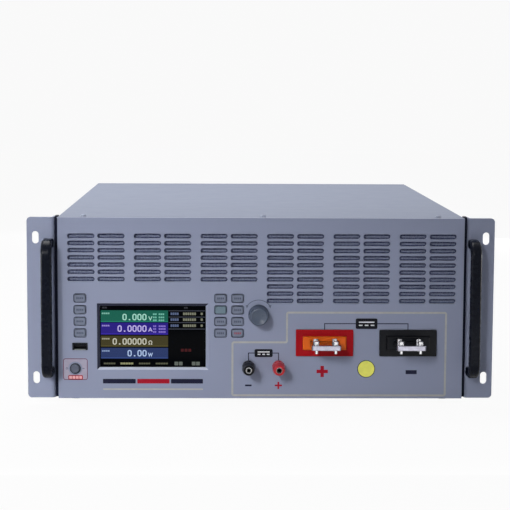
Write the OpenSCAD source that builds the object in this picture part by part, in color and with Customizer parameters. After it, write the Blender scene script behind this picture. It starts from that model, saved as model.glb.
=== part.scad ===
// Rack-mount DC electronic load: steel case, pierced front panel with display, keys, knob,
// sense posts and busbar input terminals, rack ears with handles, fan-cooled heatsinks inside.
// +Z up, the front panel faces -Y, the origin is under the middle of the box at the foot soles.

/* [Case] */
// Width of the front panel between the side rails
panel_w = 419; // [412:1:424]
// Height of the front panel
panel_h = 188; // [186:1:220]
// Depth from the panel face to the rear face
case_d = 550; // [520:5:700]
// Thickness of the case sheet
sheet_t = 1.5; // [1:0.1:2]
// Thickness of the front panel
panel_t = 3; // [2:0.5:4]
// Depth of the return flanges that take the cover screws
flange_d = 20; // [18:1:30]
// Width of the inward flanges along the side walls
side_flange_w = 10; // [6:1:14]
// Height of the cover's lip down the rear panel
lip_h = 14; // [12:0.5:16]
// Height of a foot
foot_h = 9; // [6:0.5:14]
// Diameter of a foot where it meets the tray
foot_d = 24; // [20:1:30]
// Distance of the feet from the case sides
foot_inset = 14; // [13:1:40]
// Distance of the front feet behind the panel and of the rear feet ahead of the rear face
foot_setback = 54; // [40:1:90]

/* [Rack ears] */
// Overall width over the ears
rack_w = 482.6; // [478:0.1:490]
// Thickness of the ear sheet
ear_t = 3; // [2:0.5:3.5]
// Distance of the ear face behind the panel face
ear_setback = 3.5; // [2:0.5:10]
// Corner radius of an ear
ear_corner_r = 4; // [2:0.5:6]
// Inner radius of the ear's bend
ear_bend_r = 1.5; // [0.5:0.5:2]
// Horizontal distance between the ear slots
slot_pitch_x = 465.1; // [464:0.1:467]
// Vertical distance between the ear slots
slot_pitch_z = 146.05; // [120:0.05:160]
// Width of an ear slot
slot_w = 7; // [6:0.5:7.5]
// Length of an ear slot
slot_l = 13; // [10:0.5:16]
// Width of a side rail
rail_w = 3; // [2:0.1:5]
// Depth from the panel face to a side rail's back, which the ear's leg matches
rail_d = 19; // [18:0.5:44]
// Distance of a side rail's front behind the panel face
rail_setback = 4.5; // [0:0.5:6]
// Height of a side rail above the panel's top edge
rail_rise = 1.2; // [0:0.1:4]
// Height of a side rail's foot above the panel's bottom edge
rail_lift = 1; // [0:0.1:4]

/* [Handles] */
// Overall height of a handle
handle_h = 143; // [120:1:160]
// Height of a handle's middle above the panel's middle
handle_rise = 0.7; // [-4:0.1:4]
// Reach of a handle ahead of the ear
handle_out = 28; // [24:1:40]
// Width of the handle bar
handle_w = 11; // [9:0.5:12]
// Thickness of the handle bar
handle_t = 10; // [7:0.5:11]
// Edge radius of the handle bar
handle_edge_r = 3; // [1:0.5:3.4]
// Bend radius at the middle of the handle bar
handle_bend_r = 11; // [7:0.5:12]

/* [Vents] */
// Length of a vent slot
vent_l = 28; // [24:0.5:29]
// Height of a vent slot
vent_w = 5; // [3:0.25:6]
// Distance between the two columns of a group
vent_pitch_x = 31; // [30:0.5:33]
// Distance between groups
vent_group_pitch = 68.4; // [66:0.1:70]
// Distance between rows
vent_pitch_z = 7.44; // [6.8:0.02:8]
// Distance of the first row below the panel's top edge
vent_top = 19; // [14:0.5:22]
// Height above the panel's bottom edge that the rows on the left keep clear
vent_low_left = 122; // [121:0.5:150]
// Height above the panel's bottom edge that the rows on the right keep clear
vent_low_right = 100; // [98:0.5:140]
// Sideways place of the whole vent field
vent_x = 1; // [-2:0.5:2]
// Thickness of the dust filter behind the vents
filter_t = 8; // [4:0.5:12]

/* [Display] */
// Width of the display window
display_w = 115; // [100:0.5:118]
// Height of the display window
display_h = 69.4; // [60:0.2:76]
// Sideways place of the window's centre
display_x = -111.8; // [-114:0.2:-110]
// Height of the window's centre above the panel's bottom edge
display_z = 64.5; // [58:0.5:70]
// Width of the bevel round the window
bevel_w = 2.6; // [1:0.2:4]
// Depth of the bevel, which is the depth of the glass behind the panel face
lens_recess = 1.2; // [0.4:0.2:1.6]
// Thickness of the display module
module_t = 8; // [5:0.5:12]

/* [Keys] */
// Width of a key cap
key_w = 11.2; // [10:0.2:13]
// Height of a key cap
key_h = 7.6; // [7:0.2:9]
// Gap round a key cap in its hole
key_gap = 0.6; // [0.3:0.1:0.8]
// Corner radius of a key cap
key_r = 1.6; // [0.5:0.1:3]
// Height of a key cap above the panel
key_out = 1.2; // [0.9:0.1:2.5]
// Travel of a key
key_travel = 0.8; // [0.3:0.1:0.8]
// Sideways place of the left key column
key_left_x = -186.8; // [-190:0.2:-185]
// Sideways place of the middle key column
key_mid_x = -41.8; // [-42:0.2:-40]
// Sideways place of the right key column
key_right_x = -24.2; // [-25:0.2:-23]
// Height of the top keys above the panel's bottom edge
key_top_z = 104.7; // [103:0.1:106]
// Distance between key rows
key_pitch_z = 12.1; // [11.8:0.1:12.4]
// Rows of keys
key_rows = 4; // [4:1:4]

/* [Knob and power] */
// Diameter of the knob at its base
knob_d = 21.6; // [16:0.2:24]
// Diameter of the knob at its front
knob_front_d = 18.4; // [14:0.2:21]
// Height of the knob ahead of the panel
knob_out = 17; // [15.5:0.5:24]
// Sideways place of the knob
knob_x = -2.4; // [-3:0.1:-2]
// Height of the knob's axis
knob_z = 87.6; // [86:0.2:92]
// Diameter of the encoder shaft
shaft_d = 6; // [5:0.5:6.5]
// Diameter of the power button
power_d = 8.8; // [7:0.2:9.6]
// Height of the power button ahead of the panel
power_out = 3.4; // [2.8:0.2:6]
// Travel of the power button
power_travel = 2; // [1:0.1:2.2]
// Sideways place of the power button
power_x = -192; // [-196:0.5:-186]
// Height of the power button's axis
power_z = 31.2; // [24:0.2:34]
// Sideways place of the USB port
usb_x = -187; // [-190:0.5:-185]
// Height of the USB port
usb_z = 54.1; // [53:0.1:56]

/* [Input terminals] */
// Sideways place of the middle between the terminals
input_x = 109.2; // [100:0.2:112]
// Distance between the terminals
input_pitch = 86.6; // [80:0.2:92]
// Height of the terminals
input_z = 58.5; // [52:0.5:66]
// Width of a terminal plate
plate_w = 59.4; // [55:0.2:64]
// Height of a terminal plate
plate_h = 27.6; // [24:0.2:32]
// Thickness of a terminal plate
plate_t = 2.4; // [1.5:0.1:4]
// Width of a terminal block
block_w = 44.8; // [40:0.2:48]
// Height of a terminal block
block_h = 14; // [12:0.2:17]
// Reach of a terminal block ahead of the panel
block_out = 5.4; // [4.2:0.2:6.4]
// Bevel round the front of a terminal block
block_bevel = 1; // [0.4:0.1:1.8]
// Width of a busbar
bar_w = 30; // [28:0.5:34]
// Thickness of a busbar
bar_t = 5; // [3:0.5:6]
// Reach of a busbar ahead of the panel
bar_out = 36; // [34:0.5:44]
// Sideways distance between the terminal screws
bar_screw_pitch = 19.6; // [19:0.2:20]
// Corner radius of a busbar
bar_corner_r = 2.5; // [1:0.5:4]
// Length of a terminal screw below its busbar
screw_tail = 4.2; // [2:0.2:5]
// Reach of the rear row of terminal screws
bar_screw_rear = 11.5; // [11:0.5:13]
// Reach of the front row of terminal screws
bar_screw_front = 29; // [24:0.5:29.5]

/* [Sense posts] */
// Sideways place of the middle between the posts
sense_x = 2.8; // [0:0.2:6]
// Distance between the posts
sense_pitch = 31.2; // [28:0.2:34]
// Height of the posts
sense_z = 33.6; // [28:0.2:36]
// Diameter of a post cap
cap_d = 13.2; // [12:0.2:15]
// Front diameter of a post cap
cap_front_d = 10.6; // [10:0.2:12]
// Reach of a post ahead of the panel
post_out = 26; // [24:0.5:32]
// Height of the fixed collar under a cap
collar_h = 4.5; // [3:0.5:6]
// Diameter of the stud
stud_d = 6; // [5.6:0.2:6.2]
// Diameter of the plug socket in the stud
socket_d = 4; // [3.9:0.1:4.2]
// Depth of the plug socket
socket_depth = 20; // [16:1:24]

/* [Cooling] */
// Side of a fan frame
fan_w = 120; // [116:1:122]
// Thickness of a fan
fan_t = 38; // [25:1:44]
// Hole spacing of a fan
fan_hole_pitch = 105; // [103:0.5:106]
// Sideways distance between the fans
fan_pitch = 132; // [126:1:138]
// Height of the fan axes
fan_z = 96; // [72:1:100]
// Blades of a fan
fan_blades = 7; // [5:1:9]
// Diameter of the fan hub
fan_hub_d = 44; // [38:1:48]
// Diameter of the guard wire
guard_wire = 1.8; // [1.4:0.1:2.4]
// Width of a heatsink
sink_w = 150; // [120:5:150]
// Length of a heatsink
sink_l = 310; // [240:5:330]
// Height of a heatsink above the tray
sink_h = 116; // [80:1:120]
// Thickness of a heatsink's base
sink_base_t = 8; // [5:0.5:12]
// Fins of a heatsink
sink_fins = 17; // [10:1:22]
// Thickness of a fin
fin_t = 1.8; // [1.2:0.1:2.6]

/* [Hidden] */
$fn = 64;

// Colours
panel_grey = [0.53, 0.56, 0.64];
cover_grey = [0.62, 0.65, 0.71];
soft_black = [0.06, 0.07, 0.08];
steel = [0.75, 0.76, 0.78];
brass = [0.80, 0.65, 0.32];
key_grey = [0.56, 0.59, 0.66];
dial_grey = [0.28, 0.32, 0.39];
board_green = [0.08, 0.30, 0.18];
alloy = [0.70, 0.71, 0.73];
sign_red = [0.60, 0.06, 0.08];
block_orange = [0.80, 0.34, 0.08];
foam_grey = [0.33, 0.36, 0.42];
guard_chrome = [0.80, 0.80, 0.82];

// Clearances
loose = 0.2;    // fixed pieces in their openings
running = 0.05; // turning and sliding pieces on their guides
float = 0.3;    // faces of a moving piece beside fixed faces
bolt_gap = 0.1; // a screw's shank in its hole

// Case
guard_out = 2.3 * guard_wire;
front_y = (bar_out - case_d - guard_out) / 2;
rear_y = front_y + case_d;
base_z = foot_h;
top_z = base_z + panel_h;
half_w = panel_w / 2;
ear_x = half_w + rail_w;
ear_y = front_y + ear_setback;
panel_back = -panel_t;
flange_w = panel_w - 2 * side_flange_w - 1;
floor_z = base_z + sheet_t;

// Screws: thread radius, head radius, head height
m3 = [1.5, 2.75, 1.9];
m4 = [2, 3.5, 2.6];
cap_screw = [1.5, 2.75, 3.4];
cap_socket_af = 2.5;
cap_socket_depth = 1.8;
cover_screw_d = 15;
cover_screw_inset = 25.5;
cover_screw_mid = 2;
cover_screw_xs = [cover_screw_inset - half_w, cover_screw_mid, half_w - cover_screw_inset];
flange_screw_inset = 59.5;
flange_screw_xs = [flange_screw_inset - half_w, 0, half_w - flange_screw_inset];
foot_xs = [-(half_w - foot_inset), half_w - foot_inset];
foot_ys = [front_y + foot_setback, rear_y - foot_setback];
foot_recess = 4.5;
ear_screw_zs = [0.13, 0.5, 0.87] * panel_h;
ear_screw_y = front_y + (ear_setback + ear_bend_r + ear_t + rail_d) / 2;

// Handles
handle_gap = 1.1;
handle_x = ear_x + handle_gap + handle_w / 2;
handle_mid_z = base_z + panel_h / 2 + handle_rise;
handle_arm_dz = (handle_h - handle_t) / 2;
handle_grip_dz = handle_arm_dz - handle_bend_r;
handle_arm_l = handle_out - handle_t / 2 - handle_bend_r;

// Vents
vent_edge = 3;
vent_groups = floor((panel_w - 2 * vent_edge) / vent_group_pitch);
vent_half = (vent_groups - 1) / 2 * vent_group_pitch;
vent_cols = [for (g = [0:vent_groups - 1]) for (c = [-1, 1])
    vent_x - vent_half + g * vent_group_pitch + c * vent_pitch_x / 2];
function rows_above(low) = 1 + floor((panel_h - vent_top - low) / vent_pitch_z);
vent_rows_left = rows_above(vent_low_left);
vent_rows_right = rows_above(vent_low_right);
function vent_rows(x) = x < vent_x ? vent_rows_left : vent_rows_right;
function vent_z(row) = panel_h - vent_top - row * vent_pitch_z;
filter_rim = 3;
filter_edge = 2;
filter_gap = 1;

// Display
glass_w = display_w - 2 * bevel_w;
glass_h = display_h - 2 * bevel_w;
glass_r = 1;

// Boards behind the panel
board_gap = 6;
board_t = 1.6;
board_front = panel_back - board_gap;
boss_r = 2.4;
boss_inset = 2.7;
module_rim = 3;
key_flange = 1.2;
key_flange_t = 1;
key_stem_r = 1.75;
switch_w = 6.2;
switch_t = 3.5;
switch_bore = 3;
key_xs = [key_left_x, key_mid_x, key_right_x];
key_bottom_z = key_top_z - (key_rows - 1) * key_pitch_z;
function key_z(row) = key_top_z - (row - 1) * key_pitch_z;
board_margin = key_h / 2 + key_flange + 2 * boss_inset;
usb_w = 15.8;
usb_h = 7.6;
usb_cavity = [12.6, 5.2];
usb_out = 0.3;
left_board_w = 25.2;
left_board = [[usb_x - left_board_w / 2, usb_z - usb_h / 2 - 2 * boss_inset],
    [usb_x + left_board_w / 2, key_top_z + board_margin]];
right_board = [[key_mid_x - key_w / 2 - key_flange - 1, key_bottom_z - board_margin],
    [knob_x + 6.6, key_top_z + board_margin]];

// Knob and power switch
encoder_w = 12.4;
bushing_r = shaft_d / 2 + 0.6;
bushing_out = 2.6;
shaft_in = 4.5;
knob_gap = 0.8;
knob_cavity_r = 7.4;
knob_cavity_h = 3;
nut_af = 10;
nut_h = 1.8;
knob_wall = 2.6;
power_wall = 0.5;
power_rim = 0.7;
power_rim_h = 1.2;
power_body_w = 13;
power_body_l = 14;
power_in = 9;

// Input terminals
terminal_flange = 3.5;
terminal_flange_t = 3;
block_in = 14;
bar_in = 60;

// Sense posts
post_hole_r = 5;
post_gap = 0.5;
insert_wall = 1.3;
insert_r = stud_d / 2 + running + insert_wall;
cap_front_wall = 4;
cap_taper = 0.55;
stud_back = 1.5;
stud_in = 16;
sense_nut_af = 10;
sense_nut_h = 4;
flute_r = 1.7;
flutes = 9;

// Cooling
fan_bore_r = fan_w / 2 - 1.6;
fan_tip_r = fan_bore_r - 1.6;
fan_base_t = 5;
fan_strut = 4;
axle_r = 2.5;
blade_t = 1.6;
blade_curve_r = 34;
sink_gap = 16;
sink_shift = -12;
sink_setback = 120;
sink_y = front_y + sink_setback;
sink_top = floor_z + sink_h;
transistor = [15.9, 20.8, 5];
transistor_hole = [1.8, 6];
transistor_rows = 6;
control_rise = 22;
supply = [36, 130, 56];
supply_setback = 60;
supply_y = sink_y + supply_setback;
supply_gap = 2;

// Rear connectors
inlet_inset = 43.5;
inlet_x = half_w - inlet_inset;
inlet_z = 42;
inlet_body = [27, 19.6];
inlet_recess = [24.6, 16.6];
inlet_recess_l = 16;
inlet_flange = [50, 24];
inlet_flange_t = 2.5;
inlet_hole_pitch = 40;
inlet_body_l = 24;
comm_x = inlet_x;
comm_z = 96;
comm_body = [15.9, 13.2];
comm_mouth = [11.8, 7.6];
comm_depth = 12;
comm_body_l = 18;
comm_out = 0.8;

// Shared shapes

// Rectangle with round corners, centred
module rounded(w, h, r) {
    square([w - 2 * r, h], center = true);
    square([w, h - 2 * r], center = true);
    for (sx = [-1, 1], sy = [-1, 1])
        translate([sx * (w / 2 - r), sy * (h / 2 - r)]) circle(r);
}

// Oblong with round ends, lying along x
module oblong(l, w) {
    square([l - w, w], center = true);
    for (s = [-1, 1]) translate([s * (l - w) / 2, 0]) circle(d = w);
}

// Plate between two heights of the local z axis
module slab(low, high) {
    translate([0, 0, low]) linear_extrude(high - low) children();
}

// Frame on the panel face: x to the right, y up, z out of the panel
module on_panel(x = 0, z = 0) {
    translate([x, front_y, base_z + z]) rotate([90, 0, 0]) children();
}

// Frame on the rear face: y up, z out of the rear
module on_rear(x = 0, z = 0) {
    translate([x, rear_y, base_z + z]) rotate([90, 0, 180]) children();
}

// Right-hand pieces are drawn as they are, left-hand ones mirrored
module on_side(side) {
    if (side > 0) children();
    else mirror([1, 0, 0]) children();
}

// Screw along z: head above zero, shank below
module screw(size, length) {
    cylinder(r = size[1], h = size[2]);
    translate([0, 0, -length]) cylinder(r = size[0], h = length);
}

// Hexagon nut prism by its width across flats
module hexagon(af, h) {
    cylinder(d = af / cos(30), h = h, $fn = 6);
}

// Case

module base_tray() {
    tray_l = case_d - panel_t - sheet_t;
    wall_h = panel_h - sheet_t;
    color(cover_grey) difference() {
        translate([0, front_y + panel_t, base_z]) union() {
            translate([-half_w, 0, 0]) cube([panel_w, tray_l, sheet_t]);
            for (side = [-1, 1]) on_side(side) {
                translate([half_w - sheet_t, 0, 0]) cube([sheet_t, tray_l, wall_h]);
                translate([half_w - side_flange_w, 0, wall_h - sheet_t])
                    cube([side_flange_w, tray_l, sheet_t]);
            }
        }
        for (x = foot_xs, y = foot_ys)
            translate([x, y, base_z - 1]) cylinder(r = m4[0] + bolt_gap, h = sheet_t + 2);
        for (x = flange_screw_xs, y = flange_screw_ys())
            translate([x, y, base_z - 1]) cylinder(r = m3[0] + bolt_gap, h = sheet_t + 2);
        for (side = [-1, 1], z = ear_screw_zs) on_side(side)
            translate([half_w - sheet_t - 1, ear_screw_y, base_z + z]) rotate([0, 90, 0])
                cylinder(r = m4[0] + bolt_gap, h = sheet_t + 2);
    }
}

function flange_screw_ys() = [front_y + panel_t + flange_d / 2, rear_y - sheet_t - flange_d / 2];

// Places of the cover's screws: down through its front edge, and ahead through its rear lip
module at_cover_screws() {
    for (x = cover_screw_xs) {
        translate([x, front_y + cover_screw_d, top_z]) children();
        on_rear(x, panel_h - lip_h / 2) translate([0, 0, sheet_t]) children();
    }
}

// Holes for the cover's screws through the cover and what lies under it
module cover_screw_holes() {
    at_cover_screws() translate([0, 0, -2 * sheet_t - 1])
        cylinder(r = m3[0] + bolt_gap, h = 2 * sheet_t + 2);
}

module top_cover() {
    color(cover_grey) difference() {
        union() {
            translate([-half_w, front_y + panel_t, top_z - sheet_t])
                cube([panel_w, case_d - panel_t + sheet_t, sheet_t]);
            translate([-half_w, rear_y, top_z - lip_h]) cube([panel_w, sheet_t, lip_h]);
        }
        cover_screw_holes();
    }
}

// Pair of return flanges behind a panel, under the cover and on the tray
module return_flanges(y) {
    difference() {
        union() {
            translate([-flange_w / 2, y, top_z - 2 * sheet_t]) cube([flange_w, flange_d, sheet_t]);
            translate([-flange_w / 2, y, floor_z]) cube([flange_w, flange_d, sheet_t]);
        }
        cover_screw_holes();
        for (x = flange_screw_xs, fy = flange_screw_ys())
            translate([x, fy, floor_z - 1]) cylinder(r = m3[0] + bolt_gap, h = sheet_t + 2);
    }
}

module vent_field() {
    for (x = vent_cols, row = [0:vent_rows(x) - 1])
        translate([x, vent_z(row)]) oblong(vent_l, vent_w);
}

// Openings of the front panel in its own plane
module panel_openings() {
    vent_field();
    translate([display_x, display_z]) rounded(glass_w, glass_h, glass_r);
    for (x = key_xs, row = [1:key_rows])
        translate([x, key_z(row)]) rounded(key_w + 2 * key_gap, key_h + 2 * key_gap, key_r + key_gap);
    translate([usb_x, usb_z]) rounded(usb_w + 2 * loose, usb_h + 2 * loose, 1);
    translate([power_x, power_z]) circle(power_d / 2 + running + power_wall + bolt_gap);
    translate([knob_x, knob_z]) circle(bushing_r + bolt_gap);
    for (s = [-1, 1]) {
        translate([input_x + s * input_pitch / 2, input_z])
            square([block_w + 2 * loose, block_h + 2 * loose], center = true);
        translate([sense_x + s * sense_pitch / 2, sense_z]) circle(post_hole_r + bolt_gap);
    }
}

// Bosses on the panel's back at the corners of a board
module board_bosses(board) {
    for (x = [board[0][0] + boss_inset, board[1][0] - boss_inset],
         z = [board[0][1] + boss_inset, board[1][1] - boss_inset])
        on_panel(x, z) translate([0, 0, board_front]) cylinder(r = boss_r, h = board_gap);
}

// Outline of the window's bevel across one side: wide at the panel face, narrow at the glass
module bevel_profile(side) {
    polygon([[-side / 2 + bevel_w, -lens_recess], [side / 2 - bevel_w, -lens_recess],
        [side / 2, 0], [side / 2, 1], [-side / 2, 1], [-side / 2, 0]]);
}

// Sloped sides of the display window
module window_bevel() {
    on_panel(display_x, display_z) intersection() {
        translate([0, display_h, 0]) rotate([90, 0, 0])
            linear_extrude(2 * display_h) bevel_profile(display_w);
        translate([-display_w, 0, 0]) rotate([90, 0, 90])
            linear_extrude(2 * display_w) bevel_profile(display_h);
    }
}

module front_panel() {
    color(panel_grey) {
        difference() {
            on_panel() slab(panel_back, 0) difference() {
                translate([-half_w, 0]) square([panel_w, panel_h]);
                panel_openings();
            }
            window_bevel();
        }
        return_flanges(front_y + panel_t);
        board_bosses(left_board);
        board_bosses(right_board);
    }
}

module rear_panel() {
    color(cover_grey) {
        on_rear() slab(-sheet_t, 0) difference() {
            translate([-half_w, 0]) square([panel_w, panel_h - sheet_t]);
            for (x = cover_screw_xs) translate([-x, panel_h - lip_h / 2]) circle(m3[0] + bolt_gap);
            for (s = [-1, 1]) translate([s * fan_pitch / 2, fan_z]) {
                circle(fan_bore_r);
                fan_holes() circle(m4[0] + bolt_gap);
            }
            translate([-inlet_x, inlet_z]) {
                square([inlet_body[0] + 2 * loose, inlet_body[1] + 2 * loose], center = true);
                for (s = [-1, 1]) translate([s * inlet_hole_pitch / 2, 0]) circle(m3[0] + bolt_gap);
            }
            translate([-comm_x, comm_z])
                square([comm_body[0] + 2 * loose, comm_body[1] + 2 * loose], center = true);
        }
        return_flanges(rear_y - sheet_t - flange_d);
    }
}

module side_rail(side) {
    cap_r = 2;
    rail_l = rail_d - rail_setback;
    rail_h = panel_h + rail_rise - rail_lift;
    color(soft_black) on_side(side) difference() {
        translate([half_w, front_y + rail_setback, base_z + rail_lift]) rotate([90, 0, 90])
            linear_extrude(rail_w) union() {
                square([rail_l, rail_h - cap_r]);
                translate([cap_r, 0]) square([rail_l - 2 * cap_r, rail_h]);
                for (d = [cap_r, rail_l - cap_r]) translate([d, rail_h - cap_r]) circle(cap_r);
            }
        ear_screw_holes();
    }
}

// Holes through an ear's leg and a rail
module ear_screw_holes() {
    for (z = ear_screw_zs)
        translate([half_w - 1, ear_screw_y, base_z + z]) rotate([0, 90, 0])
            cylinder(r = m4[0] + bolt_gap, h = rail_w + ear_t + 2);
}

// Rack ears

module rack_ear(side) {
    ear_w = rack_w / 2 - ear_x;
    leg_l = rail_d - ear_setback;
    outer_r = ear_bend_r + ear_t;
    color(panel_grey) on_side(side) difference() {
        intersection() {
            translate([ear_x, ear_y, base_z]) linear_extrude(panel_h) union() {
                translate([0, outer_r]) square([ear_t, leg_l - outer_r]);
                translate([outer_r, 0]) square([ear_w - outer_r, ear_t]);
                difference() {
                    intersection() {
                        translate([outer_r, outer_r]) circle(outer_r);
                        square(outer_r);
                    }
                    translate([outer_r, outer_r]) circle(ear_bend_r);
                }
            }
            on_panel(ear_x - 1, 0) slab(-rail_d - 1, 1) difference() {
                square([ear_w + 1, panel_h]);
                for (m = [0, 1]) translate([ear_w + 1, m * panel_h]) mirror([0, m]) difference() {
                    translate([-ear_corner_r, -1]) square([ear_corner_r + 1, ear_corner_r + 1]);
                    translate([-ear_corner_r, ear_corner_r]) circle(ear_corner_r);
                }
            }
        }
        for (s = [-1, 1])
            on_panel(slot_pitch_x / 2, panel_h / 2 + s * slot_pitch_z / 2)
                slab(-ear_setback - ear_t - 1, -ear_setback + 1) rotate(90) oblong(slot_l, slot_w);
        for (s = [-1, 1])
            translate([handle_x, ear_y - 1, handle_mid_z + s * handle_arm_dz]) rotate([-90, 0, 0]) {
                cylinder(r = m4[0] + bolt_gap, h = ear_t + 2);
                translate([0, 0, ear_t + 1]) cylinder(r = m4[1] + loose, h = leg_l + 1);
            }
        ear_screw_holes();
    }
}

module handle(side) {
    grip_y = ear_y - handle_out + handle_t / 2;
    bend_y = grip_y + handle_bend_r;
    screw_l = 12;
    color(soft_black) on_side(side) difference() {
        union() {
            translate([handle_x, grip_y, handle_mid_z - handle_grip_dz]) linear_extrude(2 * handle_grip_dz)
                rounded(handle_w, handle_t, handle_edge_r);
            for (s = [-1, 1]) {
                translate([handle_x, ear_y, handle_mid_z + s * handle_arm_dz]) rotate([90, 0, 0])
                    linear_extrude(handle_arm_l) rounded(handle_w, handle_t, handle_edge_r);
                translate([handle_x, bend_y, handle_mid_z + s * handle_grip_dz]) rotate([90, 0, 90])
                    rotate(s > 0 ? 90 : 180) rotate_extrude(angle = 90) translate([handle_bend_r, 0])
                        rounded(handle_t, handle_w, handle_edge_r);
            }
        }
        for (s = [-1, 1])
            translate([handle_x, ear_y, handle_mid_z + s * handle_arm_dz]) rotate([90, 0, 0])
                translate([0, 0, -1]) cylinder(r = m4[0] + bolt_gap, h = screw_l + 1);
    }
}

module feet() {
    sole_r = foot_d / 2 - 1.5;
    color(soft_black) for (x = foot_xs, y = foot_ys) translate([x, y, 0]) difference() {
        cylinder(r1 = sole_r, r2 = foot_d / 2, h = foot_h);
        translate([0, 0, -1]) cylinder(r = foot_recess, h = foot_h / 2 + 1);
        cylinder(r = m4[0] + bolt_gap, h = foot_h + 1);
    }
}

module cover_screws() {
    color(steel) at_cover_screws() screw(m3, 2 * sheet_t + 3);
}

// Screws of the ears, handles, feet, panel flanges, fans and mains inlet
module case_screws() {
    ear_l = rail_w + ear_t + sheet_t + 3;
    handle_l = ear_t + 10;
    foot_l = foot_h / 2 + sheet_t + 4;
    fan_l = 12;
    inlet_l = 8;
    flange_l = 2 * sheet_t + 3;
    eyelet_h = guard_wire;
    color(steel) {
        for (side = [-1, 1]) on_side(side) {
            for (z = ear_screw_zs)
                translate([ear_x + ear_t, ear_screw_y, base_z + z]) rotate([0, 90, 0]) screw(m4, ear_l);
            for (s = [-1, 1])
                translate([handle_x, ear_y + ear_t, handle_mid_z + s * handle_arm_dz])
                    rotate([-90, 0, 0]) screw(m4, handle_l);
        }
        for (x = foot_xs, y = foot_ys)
            translate([x, y, foot_h / 2]) mirror([0, 0, 1]) screw(m4, foot_l);
        for (x = flange_screw_xs, y = flange_screw_ys())
            translate([x, y, base_z]) mirror([0, 0, 1]) screw(m3, flange_l);
        for (s = [-1, 1]) on_rear(s * fan_pitch / 2, fan_z)
            fan_holes() translate([0, 0, eyelet_h]) screw(m4, fan_l);
        for (s = [-1, 1]) on_rear(inlet_x + s * inlet_hole_pitch / 2, inlet_z)
            translate([0, 0, inlet_flange_t]) screw(m3, inlet_l);
    }
}

// Display and keys

module display_lens() {
    color(soft_black) on_panel(display_x, display_z) slab(panel_back, -lens_recess)
        rounded(glass_w - 2 * loose, glass_h - 2 * loose, glass_r - loose);
}

module display_module() {
    color(alloy) on_panel(display_x, display_z) slab(panel_back - module_t, panel_back)
        square([display_w + 2 * module_rim, display_h + 2 * module_rim], center = true);
}

module board_plate(board) {
    on_panel() slab(board_front - board_t, board_front) translate(board[0]) square(board[1] - board[0]);
}

module key_board() {
    color(board_green) {
        board_plate(left_board);
        board_plate(right_board);
    }
}

module key_switches() {
    color(soft_black) for (x = key_xs, row = [1:key_rows]) on_panel(x, key_z(row)) difference() {
        slab(board_front, board_front + switch_t) square(switch_w, center = true);
        translate([0, 0, board_front + switch_t - switch_bore])
            cylinder(r = key_stem_r + running, h = switch_bore + 1);
    }
}

module key(x, row) {
    edge = 0.4;
    flange_front = panel_back - float;
    stem_tip = board_front + switch_t - switch_bore + key_travel + float;
    color(key_grey) on_panel(x, key_z(row)) {
        slab(flange_front, key_out - edge) rounded(key_w, key_h, key_r);
        slab(key_out - edge, key_out) rounded(key_w - 2 * edge, key_h - 2 * edge, key_r - edge);
        slab(flange_front - key_flange_t, flange_front)
            rounded(key_w + 2 * key_flange, key_h + 2 * key_flange, key_r);
        translate([0, 0, stem_tip]) cylinder(r = key_stem_r, h = flange_front - stem_tip);
    }
}

module usb_port() {
    tongue = [11.2, 1.9];
    back_wall = 1;
    color(soft_black) on_panel(usb_x, usb_z) {
        difference() {
            slab(board_front, usb_out) rounded(usb_w, usb_h, 0.8);
            slab(board_front + back_wall, usb_out + 1) square(usb_cavity, center = true);
        }
        translate([0, usb_cavity[1] / 2 - tongue[1] / 2 - 0.7])
            slab(board_front + back_wall, usb_out - 1.2) square(tongue, center = true);
    }
}

module power_switch() {
    bore_r = power_d / 2 + running;
    barrel_r = bore_r + power_wall;
    color(soft_black) on_panel(power_x, power_z) difference() {
        union() {
            cylinder(r = barrel_r + power_rim, h = power_rim_h);
            translate([0, 0, panel_back]) cylinder(r = barrel_r, h = panel_t);
            slab(panel_back - power_body_l, panel_back) square(power_body_w, center = true);
        }
        translate([0, 0, -power_in - power_travel - 1])
            cylinder(r = bore_r, h = power_in + power_travel + 1 + power_rim_h + 1);
    }
}

module power_button() {
    edge = 0.5;
    color(key_grey) on_panel(power_x, power_z) rotate_extrude() polygon([
        [0, -power_in], [power_d / 2, -power_in], [power_d / 2, power_out - edge],
        [power_d / 2 - edge, power_out], [0, power_out]]);
}

// Knob

module encoder() {
    color(steel) on_panel(knob_x, knob_z) difference() {
        union() {
            slab(board_front, panel_back) square(encoder_w, center = true);
            translate([0, 0, panel_back]) cylinder(r = bushing_r, h = panel_t + bushing_out);
            hexagon(nut_af, nut_h);
        }
        translate([0, 0, -shaft_in - 1]) cylinder(r = shaft_d / 2 + running, h = shaft_in + bushing_out + 2);
    }
}

module encoder_shaft() {
    flat_l = 9;
    flat_in = 1.5;
    shaft_out = knob_out - knob_wall - loose;
    color(steel) on_panel(knob_x, knob_z) difference() {
        translate([0, 0, -shaft_in]) cylinder(d = shaft_d, h = shaft_in + shaft_out);
        slab(shaft_out - flat_l, shaft_out + 1)
            translate([0, shaft_d - flat_in]) square([2 * shaft_d, shaft_d], center = true);
    }
}

module knob() {
    edge = 0.8;
    dish_depth = 1.1;
    dish_r = knob_front_d / 2 - 1.2;
    dish_sphere_r = (dish_r * dish_r + dish_depth * dish_depth) / (2 * dish_depth);
    color(dial_grey) on_panel(knob_x, knob_z) difference() {
        rotate_extrude() polygon([
            [0, knob_gap], [knob_d / 2, knob_gap], [knob_d / 2, knob_gap + 1.6],
            [knob_front_d / 2, knob_out - edge], [knob_front_d / 2 - edge, knob_out], [0, knob_out]]);
        translate([0, 0, knob_out - dish_depth + dish_sphere_r]) sphere(dish_sphere_r);
        translate([0, 0, -1]) cylinder(r = knob_cavity_r, h = knob_cavity_h + 1);
        translate([0, 0, -1]) cylinder(r = shaft_d / 2 + running, h = knob_out - knob_wall + 1);
    }
}

// Input terminals

module at_input(s) {
    on_panel(input_x + s * input_pitch / 2, input_z) children();
}

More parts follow.
